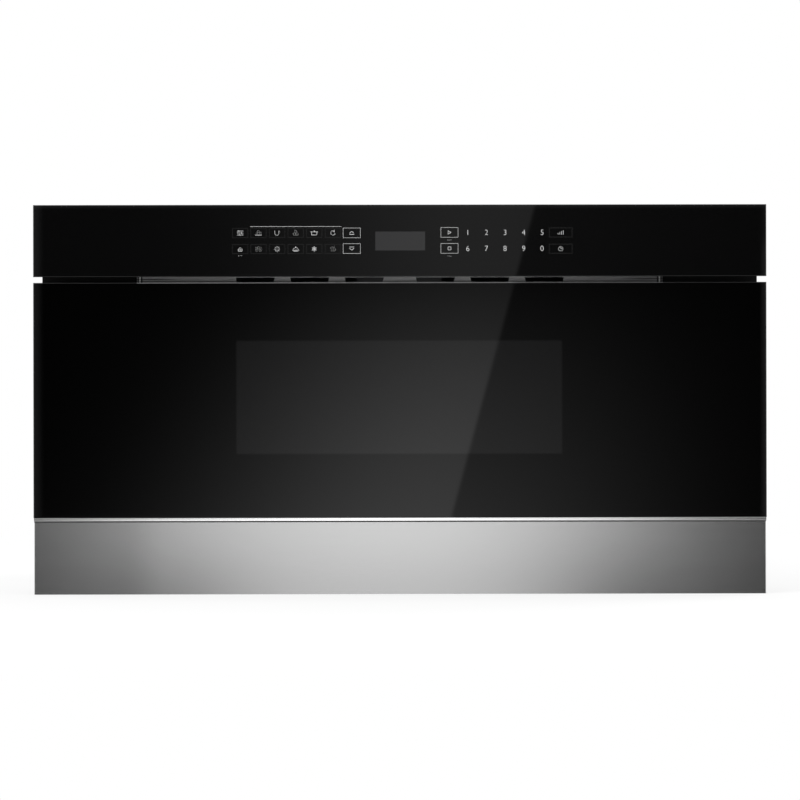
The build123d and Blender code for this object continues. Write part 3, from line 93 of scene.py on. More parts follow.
# %% The wire that carries a pattern
class Wire:
    """One output socket of a shader node, ready for arithmetic."""

    def __init__(self, socket):
        self.socket = socket

    def node(self, kind, inputs, output=0, **settings):
        tree = self.socket.id_data
        made = tree.nodes.new("ShaderNode" + kind)
        for name, value in settings.items():
            setattr(made, name, value)
        for name, value in inputs.items():
            if isinstance(value, Wire):
                tree.links.new(value.socket, made.inputs[name])
            else:
                made.inputs[name].default_value = value
        return Wire(made.outputs[output])

    def other(self, output):
        return Wire(self.socket.node.outputs[output])

    def math(self, operation, *values):
        return self.node("Math", dict(enumerate(values)), operation=operation)

    def __add__(self, value):
        return self.math("ADD", self, value)

    def __sub__(self, value):
        return self.math("SUBTRACT", self, value)

    def __rsub__(self, value):
        return self.math("SUBTRACT", value, self)

    def __mul__(self, value):
        return self.math("MULTIPLY", self, value)

    def __truediv__(self, value):
        return self.math("DIVIDE", self, value)

    def __pow__(self, value):
        return self.math("POWER", self, value)

    __radd__ = __add__
    __rmul__ = __mul__


def rise(value, low, high):
    """A soft step from 0 at low to 1 at high."""
    return value.node("MapRange", {"Value": value, "From Min": low, "From Max": high},
                      interpolation_type="SMOOTHSTEP")


def between(value, low, high, soft):
    """A soft window: 1 between low and high, 0 outside."""
    return rise(value, low - soft / 2, low + soft / 2) * rise(value, high + soft / 2, high - soft / 2)


def mix(factor, first, second):
    """A colour between two colours."""
    colours = {0: factor, 6: first, 7: second}
    return factor.node("Mix", colours, output=2, data_type="RGBA")


def axes(place):
    """The x, y and z of a place."""
    parts = place.node("SeparateXYZ", {0: place})
    return parts, parts.other(1), parts.other(2)


def grey(level, tint=(1.0, 1.0, 1.0)):
    """An opaque colour of this brightness."""
    return (level * tint[0], level * tint[1], level * tint[2], 1.0)


print("wires ready")


# %% [markdown]
# Every finish starts from the same shader. What is the same all over the piece is set on its sockets as a
# plain number; only what changes over the surface arrives by wire. A recipe is a function that gets the
# place on the piece and returns those wires.

# %% One function that makes a finish
finishes = {}


def finish(name, recipe, **fixed):
    """A material with fixed socket values and a recipe for what varies."""
    material = bpy.data.materials.new(name)
    material.use_nodes = True
    tree = material.node_tree
    shader = tree.nodes["Principled BSDF"]
    for socket, value in fixed.items():
        shader.inputs[socket.replace("_", " ")].default_value = value
    place = Wire(tree.nodes.new("ShaderNodeTexCoord").outputs["Object"])
    for socket, wire in recipe(place).items():
        tree.links.new(wire.socket, shader.inputs[socket])
    finishes[name] = material


def noise(place, scale, detail=2.0, stretch=(1.0, 1.0, 1.0)):
    """Cloudy variation round 0.5; scale is in waves per metre, stretch multiplies it along each axis."""
    drawn = place.node("Mapping", {"Vector": place, "Scale": stretch})
    return place.node("TexNoise", {"Vector": drawn, "Scale": scale, "Detail": detail})


def relief(height, strength, depth):
    """A surface normal from a height pattern; depth is the real depth in metres."""
    return height.node("Bump", {"Height": height, "Strength": strength, "Distance": depth})


def dress(name, *nodes):
    """Gives frame pieces this finish."""
    for node in nodes:
        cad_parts[node].material_slots[0].material = finishes[name]


print("slots per piece:", sorted({len(piece.material_slots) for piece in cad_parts.values()}))

# %% [markdown]
# Black glass shows almost nothing of itself, only what stands before it. In the studio that was a large soft
# card with a slanted edge, bright in the middle and dying away to both sides, and brighter lower down. Below
# it lies a broad glow, which the rougher steel band blurs, and level with the bright trim a streak that is
# wider still. The card is rebuilt here as a sheet behind the camera that only reflections can see. An area
# lamp could not carry such a gradient. Places on it are in metres, and a level of 1 is white.

# %% The studio card
CARD_Y = -5.0
CARD_HALF_WIDTH, CARD_LOW, CARD_HIGH = 2.4, -4.5, 4.5
SHEEN_TOP, SHEEN_DEPTH = 0.46, 0.53
SHEEN_CENTRE, SHEEN_DRIFT, SHEEN_WIDTH, SHEEN_SPREAD = 0.0966, 0.12, 0.345, 0.03
EDGE_X, EDGE_DROP, EDGE_SLOPE, EDGE_SOFT = 0.1487, 0.0576, 0.27, 0.006
PANEL_LOW, PANEL_HIGH = 0.455, 0.475
BELOW_LOW, BELOW_HIGH = -0.0855, -0.0835
ABOVE_LOW, ABOVE_HIGH = 0.72, 1.20
STREAK_LOW, STREAK_HIGH, STREAK_SOFT = -0.0845, -0.0772, 0.0010
SHEEN_AT_TOP, SHEEN_GROWTH, SHEEN_ON_PANEL, SHEEN_LEAST = 0.22, 0.78, 0.11, 0.012
EDGE_CUT, EDGE_CUT_LOWER, EDGE_CUT_PANEL = 0.75, 0.24, 0.10
WIDE_X, WIDE_WIDTH, WIDE_POWER, WIDE_LEVEL, WIDE_ABOVE = -0.032, 0.56, 3.8, 1.69, 0.36
STREAK_X, STREAK_WIDTH, STREAK_POWER, STREAK_LEVEL = 0.01, 0.80, 4.5, 1.28


def quad(name, corners):
    """A flat sheet through four corners."""
    sheet = bmesh.new()
    sheet.faces.new([sheet.verts.new(corner) for corner in corners])
    mesh = bpy.data.meshes.new(name)
    sheet.to_mesh(mesh)
    sheet.free()
    made = bpy.data.objects.new(name, mesh)
    scene.collection.objects.link(made)
    return made


def bell(distance, width, power=2.0):
    """1 in the middle, one half at this width, falling to 0."""
    fall = ((distance.math("ABSOLUTE", distance) / width) ** power) * -math.log(2)
    return fall.math("EXPONENT", fall)


card = quad("studio_card", [(-CARD_HALF_WIDTH, CARD_Y, CARD_LOW), (-CARD_HALF_WIDTH, CARD_Y, CARD_HIGH),
                            (CARD_HALF_WIDTH, CARD_Y, CARD_HIGH), (CARD_HALF_WIDTH, CARD_Y, CARD_LOW)])
glow = bpy.data.materials.new("card_glow")
glow.use_nodes = True
glow.node_tree.nodes.clear()
place = Wire(glow.node_tree.nodes.new("ShaderNodeTexCoord").outputs["Object"])
across, _, up = axes(place)
lower = (SHEEN_TOP - up) / SHEEN_DEPTH
lower = lower.node("Clamp", {"Value": lower})
centre = SHEEN_CENTRE + (1.0 - lower) * SHEEN_DRIFT
edge = EDGE_X + (up + EDGE_DROP) * EDGE_SLOPE
right_of_edge = rise(across - edge, -EDGE_SOFT, EDGE_SOFT)
panel = rise(up, PANEL_LOW, PANEL_HIGH)
sheen = SHEEN_AT_TOP + lower * SHEEN_GROWTH + panel * SHEEN_ON_PANEL
cut = EDGE_CUT - lower * EDGE_CUT_LOWER + panel * EDGE_CUT_PANEL
narrow = bell(across - centre, SHEEN_WIDTH + lower * SHEEN_SPREAD) * sheen
narrow = narrow * (1.0 - right_of_edge * cut) + SHEEN_LEAST
wide = bell(across - WIDE_X, WIDE_WIDTH, WIDE_POWER) * WIDE_LEVEL
streak = bell(across - STREAK_X, STREAK_WIDTH, STREAK_POWER) * STREAK_LEVEL
below = rise(up, BELOW_HIGH, BELOW_LOW)
above = rise(up, ABOVE_LOW, ABOVE_HIGH)
level_with_trim = between(up, STREAK_LOW, STREAK_HIGH, STREAK_SOFT)
shine = narrow * (1.0 - below) * (1.0 - above) + wide * (below + above * WIDE_ABOVE)
shine = shine * (1.0 - level_with_trim) + streak * level_with_trim
emitter = shine.node("Emission", {"Strength": shine})
output = glow.node_tree.nodes.new("ShaderNodeOutputMaterial")
glow.node_tree.links.new(emitter.socket, output.inputs["Surface"])
card.data.materials.append(glow)
card.visible_camera = card.visible_diffuse = card.visible_shadow = card.visible_transmission = False
card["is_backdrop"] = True
print("card", 2 * CARD_HALF_WIDTH, "m wide at y", CARD_Y)

# %% [markdown]
# The picture has a pure white background. The world shows white to the camera, to reflections and through
# glass, and gives the object an even grey-white light for the rest. The floor is a pale sheet at the height
# of the steel band's foot; it keeps the soft shadow near the object and turns plain white further out.

# %% World and floor
WORLD_LEVEL = 0.72
world = bpy.data.worlds.new("studio")
scene.world = world
world.use_nodes = True
world.node_tree.nodes.clear()
ray = Wire(world.node_tree.nodes.new("ShaderNodeLightPath").outputs["Is Camera Ray"])
seen = ray.math("MAXIMUM", ray, ray.other("Is Glossy Ray"))
seen = ray.math("MAXIMUM", seen, ray.other("Is Transmission Ray"))
sky = seen.node("Background", {"Color": grey(1.0), "Strength": WORLD_LEVEL + seen * (1.0 - WORLD_LEVEL)})
world_output = world.node_tree.nodes.new("ShaderNodeOutputWorld")
world.node_tree.links.new(sky.socket, world_output.inputs["Surface"])

FLOOR_GAP, FLOOR_REACH = 0.0002, 40.0
FLOOR_Z = cad_box[0][2] - FLOOR_GAP
SHADOW_CENTRE, SHADOW_REACH, WHITE_REACH = (0.0, 0.27, 0.0), 0.6, 1.6
WHITE_NEAR, WHITE_GROWTH = 0.72, 0.28
floor = quad("pale_floor", [(-FLOOR_REACH, -FLOOR_REACH, FLOOR_Z), (FLOOR_REACH, -FLOOR_REACH, FLOOR_Z),
                            (FLOOR_REACH, FLOOR_REACH, FLOOR_Z), (-FLOOR_REACH, FLOOR_REACH, FLOOR_Z)])
pale = bpy.data.materials.new("pale_floor")
pale.use_nodes = True
pale.node_tree.nodes.clear()
place = Wire(pale.node_tree.nodes.new("ShaderNodeTexCoord").outputs["Object"])
reach = place.node("VectorMath", {0: place, 1: SHADOW_CENTRE}, output=1, operation="DISTANCE")
ray = Wire(pale.node_tree.nodes.new("ShaderNodeLightPath").outputs["Is Camera Ray"])
plain = ray * (WHITE_NEAR + rise(reach, SHADOW_REACH, WHITE_REACH) * WHITE_GROWTH)
matte = place.node("BsdfDiffuse", {"Color": grey(0.85)})
white = place.node("Emission", {"Color": grey(1.0), "Strength": 1.0})
surface = plain.node("MixShader", {0: plain, 1: matte, 2: white})
floor_output = pale.node_tree.nodes.new("ShaderNodeOutputMaterial")
pale.node_tree.links.new(surface.socket, floor_output.inputs["Surface"])
floor.data.materials.append(pale)
floor.visible_glossy = False
floor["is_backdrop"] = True
print("floor at", round(FLOOR_Z, 4))

# %% [markdown]
# Three large soft lamps give the sides some shape: one high on the left in front, one behind on the right
# and one overhead. They light the object at a plain level, so that a colour renders about as it is written,
# and they stay out of the reflections, which belong to the card.

# %% Lamps
LAMP_AIM = Vector((0.0, 0.25, 0.2))


def soft_lamp(name, where, size, power):
    """A square lamp that faces the middle of the object."""
    lamp = bpy.data.lights.new(name, "AREA")
    lamp.energy, lamp.size = power, size
    holder = bpy.data.objects.new(name, lamp)
    scene.collection.objects.link(holder)
    aim = LAMP_AIM - Vector(where)
    holder.location = where
    holder.rotation_euler = aim.to_track_quat("-Z", "Y").to_euler()
    holder.visible_camera = holder.visible_glossy = False


soft_lamp("front_left_lamp", (-1.8, -2.6, 2.6), 1.8, 62.0)
soft_lamp("rear_right_lamp", (2.2, 2.6, 2.4), 1.6, 42.0)
soft_lamp("top_lamp", (0.0, 0.2, 3.0), 2.0, 26.0)

# %% [markdown]
# Both glasses are clear sheets painted black behind, so their own colour is nearly nothing and the gloss
# does the work. Some places are a touch lighter: the drawer's window, where a black perforated screen shows
# through the tint, and the display. Others carry painted light: a painted glow on the rims where light
# enters the sheet, side edges that are partly ground glass and partly a painted highlight, and a painted
# highlight along the top edge of the drawer glass. Masks in real sizes put them where they are, with the
# soft edge of a print.

# %% Black glass
WINDOW_X, WINDOW_Z = (-0.1694, 0.1676), (0.1332, 0.2502)
DISPLAY_X, DISPLAY_Z = (-0.0254, 0.0261), (0.3436, 0.3631)
SCREEN_PITCH, SCREEN_LEVEL, SCREEN_DEPTH = 0.0026, 0.0040, 0.0005
WINDOW_SOFT, DISPLAY_SOFT = 0.003, 0.0008
GLASS_LEVEL, PANEL_LEVEL, DISPLAY_LEVEL, BLUER = 0.0002, 0.0016, 0.027, 1.02
LEFT_RIM, RIGHT_RIM, TOP_RIM = 0.012, 0.008, 0.005
LEFT_RIM_GLOW, RIGHT_RIM_GLOW, RIGHT_GLOW_LOSS, TOP_RIM_GLOW = 0.0064, 0.0085, 0.0055, 0.006
GROUND_START, GROUND_FULL, GROUND_EDGE_AND_HIGHLIGHT = 0.0014, 0.0006, 0.012
LIT_BELOW, LIT_ABOVE, LIT_SOFT = 0.0007, 0.0004, 0.0002
LIT_END, LIT_FULL = 0.2730, 0.2715
LIT_ENDS_LEVEL, LIT_LEVEL, LIT_LOSS = 0.02, 0.12, 0.07
FADE_START, FADE_END = 0.115, 0.130
PANEL_FOOT = (0.312, 0.315)
PANEL_HEIGHT = (0.33, 0.37)
GLASS_HALF, GLASS_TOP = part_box("control_glass")[1][0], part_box("control_glass")[1][2]
DOOR_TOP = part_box("door_glass")[1][2]


def black_glass(place):
    across, _, up = axes(place)
    window = between(across, *WINDOW_X, WINDOW_SOFT) * between(up, *WINDOW_Z, WINDOW_SOFT)
    turn = 2 * math.pi / SCREEN_PITCH
    holes = place.math("COSINE", across * turn) * place.math("COSINE", up * turn)
    screen = window * (SCREEN_LEVEL + holes * SCREEN_DEPTH)
    display = between(across, *DISPLAY_X, DISPLAY_SOFT) * between(up, *DISPLAY_Z, DISPLAY_SOFT)
    side = across.math("ABSOLUTE", across)
    # Painted light: the rims are painted lighter where light enters the sheet, and the right one is dimmer
    # higher up the control panel.
    left_rim_glow = rise(across, LEFT_RIM - GLASS_HALF, -GLASS_HALF) * LEFT_RIM_GLOW
    right_glow_level = RIGHT_RIM_GLOW - rise(up, *PANEL_HEIGHT) * RIGHT_GLOW_LOSS
    right_rim_glow = rise(across, GLASS_HALF - RIGHT_RIM, GLASS_HALF) * right_glow_level
    rim = left_rim_glow + right_rim_glow + rise(up, GLASS_TOP - TOP_RIM, GLASS_TOP) * TOP_RIM_GLOW
    # The side edges are lighter: partly ground glass, partly a painted highlight.
    ground = rise(side, GLASS_HALF - GROUND_START, GLASS_HALF - GROUND_FULL) * GROUND_EDGE_AND_HIGHLIGHT
    # A painted highlight along the top edge of the drawer glass, weaker at its ends and fading towards the
    # right.
    lit_edge = between(up, DOOR_TOP - LIT_BELOW, DOOR_TOP + LIT_ABOVE, LIT_SOFT)
    lit_level = LIT_LEVEL - rise(across, FADE_START, FADE_END) * LIT_LOSS
    lit_edge = lit_edge * (LIT_ENDS_LEVEL + rise(side, LIT_END, LIT_FULL) * lit_level)
    level = GLASS_LEVEL + rise(up, *PANEL_FOOT) * PANEL_LEVEL + screen + display * DISPLAY_LEVEL
    level = level + rim + ground + lit_edge
    colour = place.node("CombineColor", {0: level, 1: level, 2: level * BLUER})
    wiped = noise(place, 9.0, 3.0, (1.0, 1.0, 2.5))
    return {"Base Color": colour, "Roughness": 0.008 + wiped * 0.012, "Coat Weight": window * 0.26}


finish("black_glass", black_glass, IOR=1.5, Coat_Roughness=0.014)
dress("black_glass", "control_glass", "door_glass")
print("window", WINDOW_X, WINDOW_Z)

# %% [markdown]
# The band at the foot is stainless steel, ground with a belt from side to side. Such grinding leaves
# scratches some centimetres long and a few tenths of a millimetre high. Noise that is stretched along x
# draws them, in the colour, the roughness and a very shallow relief, and the anisotropic gloss spreads the
# light up and down. Towards its foot the band is painted darker, a painted shade, most of all 245 mm from
# the middle, and its left end has a painted shade too. The strip above it is polished on its face; in the
# groove below it is rougher and painted dark, a painted shade.

# %% Brushed steel and bright trim
GROOVE, GROOVE_SOFT = 0.0014, 0.0001
BAND_SHADE_TOP, BAND_SHADE_FOOT = 0.075, -0.03
SHOULDER_X, SHOULDER_WIDTH = 0.245, 0.075
BAND_LEFT_SHADE_START, BAND_LEFT_SHADE_FULL = -0.24, -0.29
BAND_FOOT_SHADE, BAND_SHOULDER_SHADE, BAND_LEFT_SHADE_LEVEL = 0.42, 0.30, 0.19
STRIP_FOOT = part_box("door_steel_band")[1][2] + GROOVE


def brushed(place):
    long_lines = noise(place, 1.0, 3.0, (9.0, 300.0, 1500.0))
    short_lines = noise(place, 1.0, 2.0, (60.0, 900.0, 4200.0))
    lines = long_lines * 0.55 + short_lines * 0.45
    across, _, up = axes(place)
    # Painted shade: darker towards the foot, most of all 245 mm from the middle, and at the left end.
    shade_towards_foot = rise(up, BAND_SHADE_TOP, BAND_SHADE_FOOT)
    shoulder_shade = bell(across.math("ABSOLUTE", across) - SHOULDER_X, SHOULDER_WIDTH)
    painted_band_shade = shade_towards_foot * (BAND_FOOT_SHADE + shoulder_shade * BAND_SHOULDER_SHADE)
    painted_band_shade = painted_band_shade + rise(across, BAND_LEFT_SHADE_START, BAND_LEFT_SHADE_FULL) * BAND_LEFT_SHADE_LEVEL
    polished = mix(lines, grey(0.57), grey(0.69))
    return {"Base Color": mix(painted_band_shade, polished, grey(0.20)),
            "Roughness": 0.17 + lines * 0.10, "Normal": relief(lines, 0.35, 0.00002)}


finish("brushed_steel", brushed, Metallic=1.0, Anisotropic=0.9, Anisotropic_Rotation=0.25)
dress("brushed_steel", "door_steel_band")


def bright(place):
    _, _, up = axes(place)
    drawn = noise(place, 1.0, 2.0, (20.0, 800.0, 2500.0))
    # Below the strip's foot, in the groove, the dark grey is a painted shade.
    face = rise(up, STRIP_FOOT - GROOVE_SOFT, STRIP_FOOT + GROOVE_SOFT)
    return {"Base Color": mix(face, grey(0.20), mix(drawn, grey(0.92), grey(0.98))),
            "Roughness": 0.50 - face * 0.47 + drawn * 0.02}


finish("bright_trim", bright, Metallic=1.0)
dress("bright_trim", "door_trim_strip")
print("steel and trim dressed")

# %% [markdown]
# Behind the front everything is sheet metal, paint or moulding. Galvanised sheet has crystals of zinc, each
# a few millimetres to a centimetre wide and each catching the light its own way: a Voronoi pattern gives
# every crystal one value, which moves both its colour and its roughness. Plain zinc plating is finer and
# more even. Inside the case the sheet is painted dark, a painted shade for the little light that gets there,
# and beyond both ends of the vent strip the front plate is black.

# %% Sheet metals
CASE = [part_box("left_side_panel")[0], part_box("right_side_panel")[1]]
CASE_REAR, CASE_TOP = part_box("rear_panel")[1][1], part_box("top_cover")[1][2]
CASE_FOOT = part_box("base_plate")[0][2]
HALF_SHEET, BEAD_HEIGHT, SOFT, INSIDE_SHADE = 0.0005, 0.002, 0.0002, 0.85
WING_JOINT, PAINT_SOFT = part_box("vent_grille")[1][0], 0.0003


def galvanised(place):
    cells = place.node("TexVoronoi", {"Vector": place, "Scale": 115.0, "Randomness": 1.0}, output=1)
    spangle = cells.node("SeparateColor", {0: cells})
    blotch = noise(place, 14.0, 3.0)
    fine = noise(place, 900.0, 2.0)
    tone = spangle * 0.55 + blotch * 0.45
    colour = mix(tone, (0.50, 0.515, 0.53, 1.0), (0.70, 0.71, 0.715, 1.0))
    across, along, up = axes(place)
    inner_skin = BEAD_HEIGHT + HALF_SHEET
    inside = between(across, CASE[0][0] + inner_skin, CASE[1][0] - inner_skin, SOFT)
    inside = inside * rise(CASE_REAR - along, HALF_SHEET, HALF_SHEET + SOFT)
    inside = inside * rise(CASE_TOP - up, inner_skin, inner_skin + SOFT)
    inside = inside * rise(up - CASE_FOOT, HALF_SHEET, HALF_SHEET + SOFT)
    # Painted shade: the sheet inside the case is darkened to near black.
    colour = mix(inside * INSIDE_SHADE, colour, grey(0.03))
    return {"Base Color": colour, "Roughness": 0.34 + spangle * 0.16 + fine * 0.04,
            "Normal": relief(spangle * 0.6 + fine * 0.4, 0.15, 0.00004)}


def plated(place):
    cloud = noise(place, 30.0, 4.0)
    grain = noise(place, 1400.0, 2.0)
    colour = mix(cloud, (0.54, 0.55, 0.57, 1.0), (0.70, 0.70, 0.69, 1.0))
    return {"Base Color": colour, "Roughness": 0.27 + cloud * 0.12 + grain * 0.05,
            "Normal": relief(grain, 0.2, 0.00002)}


def slide_plate(place):
    drawn = noise(place, 1.0, 3.0, (500.0, 12.0, 900.0))
    cloud = noise(place, 22.0, 3.0)
    tone = drawn * 0.6 + cloud * 0.4
    colour = mix(tone, (0.56, 0.57, 0.60, 1.0), (0.78, 0.78, 0.77, 1.0))
    return {"Base Color": colour, "Roughness": 0.20 + tone * 0.14, "Normal": relief(drawn, 0.2, 0.00003)}


def plated_front(place):
    recipe = plated(place)
    across, _, _ = axes(place)
    painted = rise(across.math("ABSOLUTE", across), WING_JOINT - PAINT_SOFT, WING_JOINT)
    recipe["Base Color"] = mix(painted, recipe["Base Color"], grey(0.003))
    return recipe


finish("front_sheet", plated_front, Metallic=0.95)
finish("galvanised", galvanised, Metallic=0.92)
finish("zinc_sheet", plated, Metallic=0.95)
finish("slide_steel", slide_plate, Metallic=1.0)
dress("galvanised", "base_plate", "right_side_panel", "left_side_panel", "rear_panel", "top_cover",
      "gear_bracket")
dress("front_sheet", "front_plate")
dress("zinc_sheet", "case_screws", "fan_motor", "stirrer_motor", "drive_motor", "motor_pinion")
dress("slide_steel", "slide_outer_right", "slide_outer_left", "slide_mid_right", "slide_mid_left",
      "slide_inner_right", "slide_inner_left", "ball_cages_outer", "ball_cages_inner")
print("sheet metals dressed")

# %% [markdown]
# The drawer's tub is bright stainless, brushed lengthwise and polished by use; the oven cavity round it has
# a grey baked enamel with tiny dark and light specks. The tub stands on show when the drawer is open, so it
# gets faint scuffs on top of its grain.

# %% Tub and cavity
WARM = (1.0, 0.99, 0.975)


def tub(place):
    grain = noise(place, 1.0, 3.0, (700.0, 14.0, 700.0))
    scuff = noise(place, 45.0, 6.0, (1.0, 0.4, 1.0))
    marks = rise(scuff, 0.60, 0.80) * 0.5
    colour = mix(grain, grey(0.56, WARM), grey(0.70, WARM))
    return {"Base Color": colour, "Roughness": 0.20 + grain * 0.10 + marks * 0.10,
            "Normal": relief(grain + marks * 0.3, 0.18, 0.00003)}


def enamel(place):
    specks = noise(place, 1500.0, 2.0)
    dark, light = rise(specks, 0.40, 0.30), rise(specks, 0.62, 0.70)
    cloud = noise(place, 12.0, 2.0)
    base = mix(cloud, (0.36, 0.37, 0.38, 1.0), (0.44, 0.45, 0.46, 1.0))
    specked = mix(dark * 0.7, base, grey(0.12))
    return {"Base Color": mix(light * 0.5, specked, grey(0.78)), "Roughness": 0.30 + cloud * 0.10,
            "Normal": relief(cloud, 0.1, 0.0002)}


finish("tub_steel", tub, Metallic=1.0)
finish("cavity_enamel", enamel)
dress("tub_steel", "drawer_tub", "choke_frame")
dress("cavity_enamel", "cavity_floor", "cavity_right_wall", "cavity_left_wall", "cavity_rear_wall",
      "cavity_roof")
print("tub and cavity dressed")

# %% [markdown]
# Food stands on a plate of white ceramic glass: dense, faintly warm, with a soft gloss. Above it a mica
# sheet hides the turning antenna; mica splits into leaves, so it is mottled tan with darker flakes.

# %% Ceramic glass and mica
def ceramic(place):
    cloud = noise(place, 25.0, 3.0)
    dust = rise(noise(place, 2200.0, 1.0), 0.66, 0.74)
    body = mix(cloud, (0.74, 0.745, 0.74, 1.0), (0.80, 0.80, 0.785, 1.0))
    return {"Base Color": mix(dust * 0.35, body, grey(0.45)), "Roughness": 0.12 + cloud * 0.08}


def mica(place):
    leaf = noise(place, 60.0, 6.0)
    flake = rise(noise(place, 320.0, 3.0), 0.60, 0.68)
    body = mix(leaf, (0.55, 0.50, 0.41, 1.0), (0.72, 0.68, 0.60, 1.0))
    return {"Base Color": mix(flake * 0.6, body, (0.30, 0.25, 0.18, 1.0)),
            "Roughness": 0.38 + leaf * 0.15, "Normal": relief(leaf, 0.3, 0.0001)}


finish("ceramic_glass", ceramic, IOR=1.53)
finish("mica", mica)
dress("ceramic_glass", "tub_floor_plate")
dress("mica", "stirrer_cover")
print("floor plate and mica dressed")

# %% [markdown]
# Paint and moulded plastic are matt because their skin is uneven. Powder coat flows into low waves, spark
# eroded moulds leave a fine pebble. Both are one recipe: noise of one size in the relief, and that noise
# with a broader one in tone and gloss.

# %% Paint and mouldings
def pebbled(first, second, roughness, scale, depth):
    """A recipe for a matt skin: two colours, mean roughness, waves per metre and depth of the relief."""
    def recipe(place):
        pebble = noise(place, scale, 3.0)
        cloud = noise(place, 18.0, 3.0)
        return {"Base Color": mix(cloud * 0.7 + pebble * 0.3, first, second),
                "Roughness": roughness + pebble * 0.10 + cloud * 0.06,
                "Normal": relief(pebble, 0.5, depth)}
    return recipe


finish("black_paint", pebbled(grey(0.002), grey(0.004), 0.36, 700.0, 0.00006), Specular_IOR_Level=0.2)
finish("black_plastic", pebbled(grey(0.014), grey(0.022), 0.44, 1800.0, 0.00004))
finish("grey_plastic", pebbled(grey(0.20), grey(0.25), 0.42, 1600.0, 0.00003))
# The waveguide behind the vent slots gets a dark zinc, a painted shade for the dim inside of the case.
finish("zinc_in_painted_shade", pebbled(grey(0.05), grey(0.08), 0.60, 900.0, 0.00004), Metallic=0.3)
finish("white_plastic", pebbled((0.72, 0.71, 0.67, 1.0), (0.79, 0.78, 0.75, 1.0), 0.34, 1500.0, 0.00002),
       Subsurface_Weight=0.05)
finish("screen_steel", pebbled(grey(0.02), grey(0.03), 0.38, 1200.0, 0.00003))
dress("black_paint", "flange_wing_right", "flange_wing_left")
dress("black_plastic", "control_housing", "door_frame", "choke_cover", "fan_shroud", "air_duct",
      "hv_diode", "cord_gland", "interlock_switches")
dress("grey_plastic", "display_module", "fan_impeller")
# The waveguide's dark zinc is a painted shade.
dress("zinc_in_painted_shade", "waveguide")
dress("white_plastic", "drawer_rack", "drive_gear", "latch_hooks", "oven_lamp", "steam_sensor")
dress("screen_steel", "door_screen")
print("paint and mouldings dressed")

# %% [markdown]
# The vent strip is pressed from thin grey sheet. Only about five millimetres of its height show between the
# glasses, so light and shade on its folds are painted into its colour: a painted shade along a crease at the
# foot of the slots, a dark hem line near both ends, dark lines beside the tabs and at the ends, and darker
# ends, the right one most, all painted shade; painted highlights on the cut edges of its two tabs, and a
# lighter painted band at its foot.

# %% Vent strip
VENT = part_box("vent_grille")
VENT_FOOT = VENT[0][2]
TAB, TAB_WIDTH, TAB_MARGIN = 0.0030, 0.0015, 0.0018
CREASE_LOW, CREASE_HIGH = 0.0050, 0.0061
HEM_LOW, HEM_HIGH = 0.0074, 0.0084
HEM_FADE_START, HEM_FADE_END = 0.055, 0.020
RIM_START, RIM_END = 0.0009, 0.0005
FOOT_FULL, FOOT_START = 0.0046, 0.0049
DIM_START, DIM_END = 0.08, 0.25
RIGHT_DIM_START, RIGHT_DIM_END = 0.18, 0.27
CREASE_SHADE, HEM_SHADE, BESIDE_SHADE, END_SHADE, RIGHT_SHADE = 0.6, 0.8, 0.85, 0.35, 0.25
SHEET_LEVEL, ROLLED_GAIN, FOOT_LIGHT, TAB_HIGHLIGHT = 0.66, 0.14, 0.2, 0.4
CREASE_SOFT, HEM_SOFT, TAB_SOFT, BESIDE_SOFT = 0.0003, 0.0004, 0.0002, 0.0003


def pressed(place):
    across, _, up = axes(place)
    inward = VENT[1][0] - across.math("ABSOLUTE", across)
    rolled = noise(place, 1.0, 3.0, (14.0, 500.0, 1500.0))
    # Painted shade: a crease line, a hem line near both ends, lines beside the tabs and at the ends, and
    # darker ends.
    crease = between(up, VENT_FOOT + CREASE_LOW, VENT_FOOT + CREASE_HIGH, CREASE_SOFT) * CREASE_SHADE
    hem = between(up, VENT_FOOT + HEM_LOW, VENT_FOOT + HEM_HIGH, HEM_SOFT)
    hem = hem * rise(inward, HEM_FADE_START, HEM_FADE_END) * HEM_SHADE
    tab = between(inward, TAB, TAB + TAB_WIDTH, TAB_SOFT)
    beside_tab_shade = between(inward, TAB - TAB_MARGIN, TAB + TAB_WIDTH + TAB_MARGIN, BESIDE_SOFT) * (1.0 - tab)
    edges = (beside_tab_shade + rise(inward, RIM_START, RIM_END)) * BESIDE_SHADE
    shade = (1.0 - crease) * (1.0 - hem) * (1.0 - edges)
    shade = shade * (1.0 - rise(across.math("ABSOLUTE", across), DIM_START, DIM_END) * END_SHADE)
    shade = shade * (1.0 - rise(across, RIGHT_DIM_START, RIGHT_DIM_END) * RIGHT_SHADE)
    # Painted light: a lighter band at the foot, and a painted highlight on the tabs.
    foot = rise(up, VENT_FOOT + FOOT_START, VENT_FOOT + FOOT_FULL) * FOOT_LIGHT
    level = (SHEET_LEVEL + rolled * ROLLED_GAIN + foot) * shade + tab * TAB_HIGHLIGHT
    return {"Base Color": place.node("CombineColor", {0: level, 1: level, 2: level}),
            "Roughness": 0.28 + rolled * 0.12}


finish("vent_grey", pressed, Metallic=0.6)
dress("vent_grey", "vent_grille")
print("vent strip dressed")

# %% [markdown]
# The last finishes are inside the case: green lacquered circuit boards with copper tracks under the lacquer,
# the transformer's brown varnish with its copper winding at front and back, and bare aluminium.

# %% Electrical pieces
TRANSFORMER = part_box("hv_transformer")
COIL_DEPTH, COIL_SOFT = 0.018, 0.0005
TURNS, LEAVES = 5200.0, 6300.0  # radians of the pattern in a metre


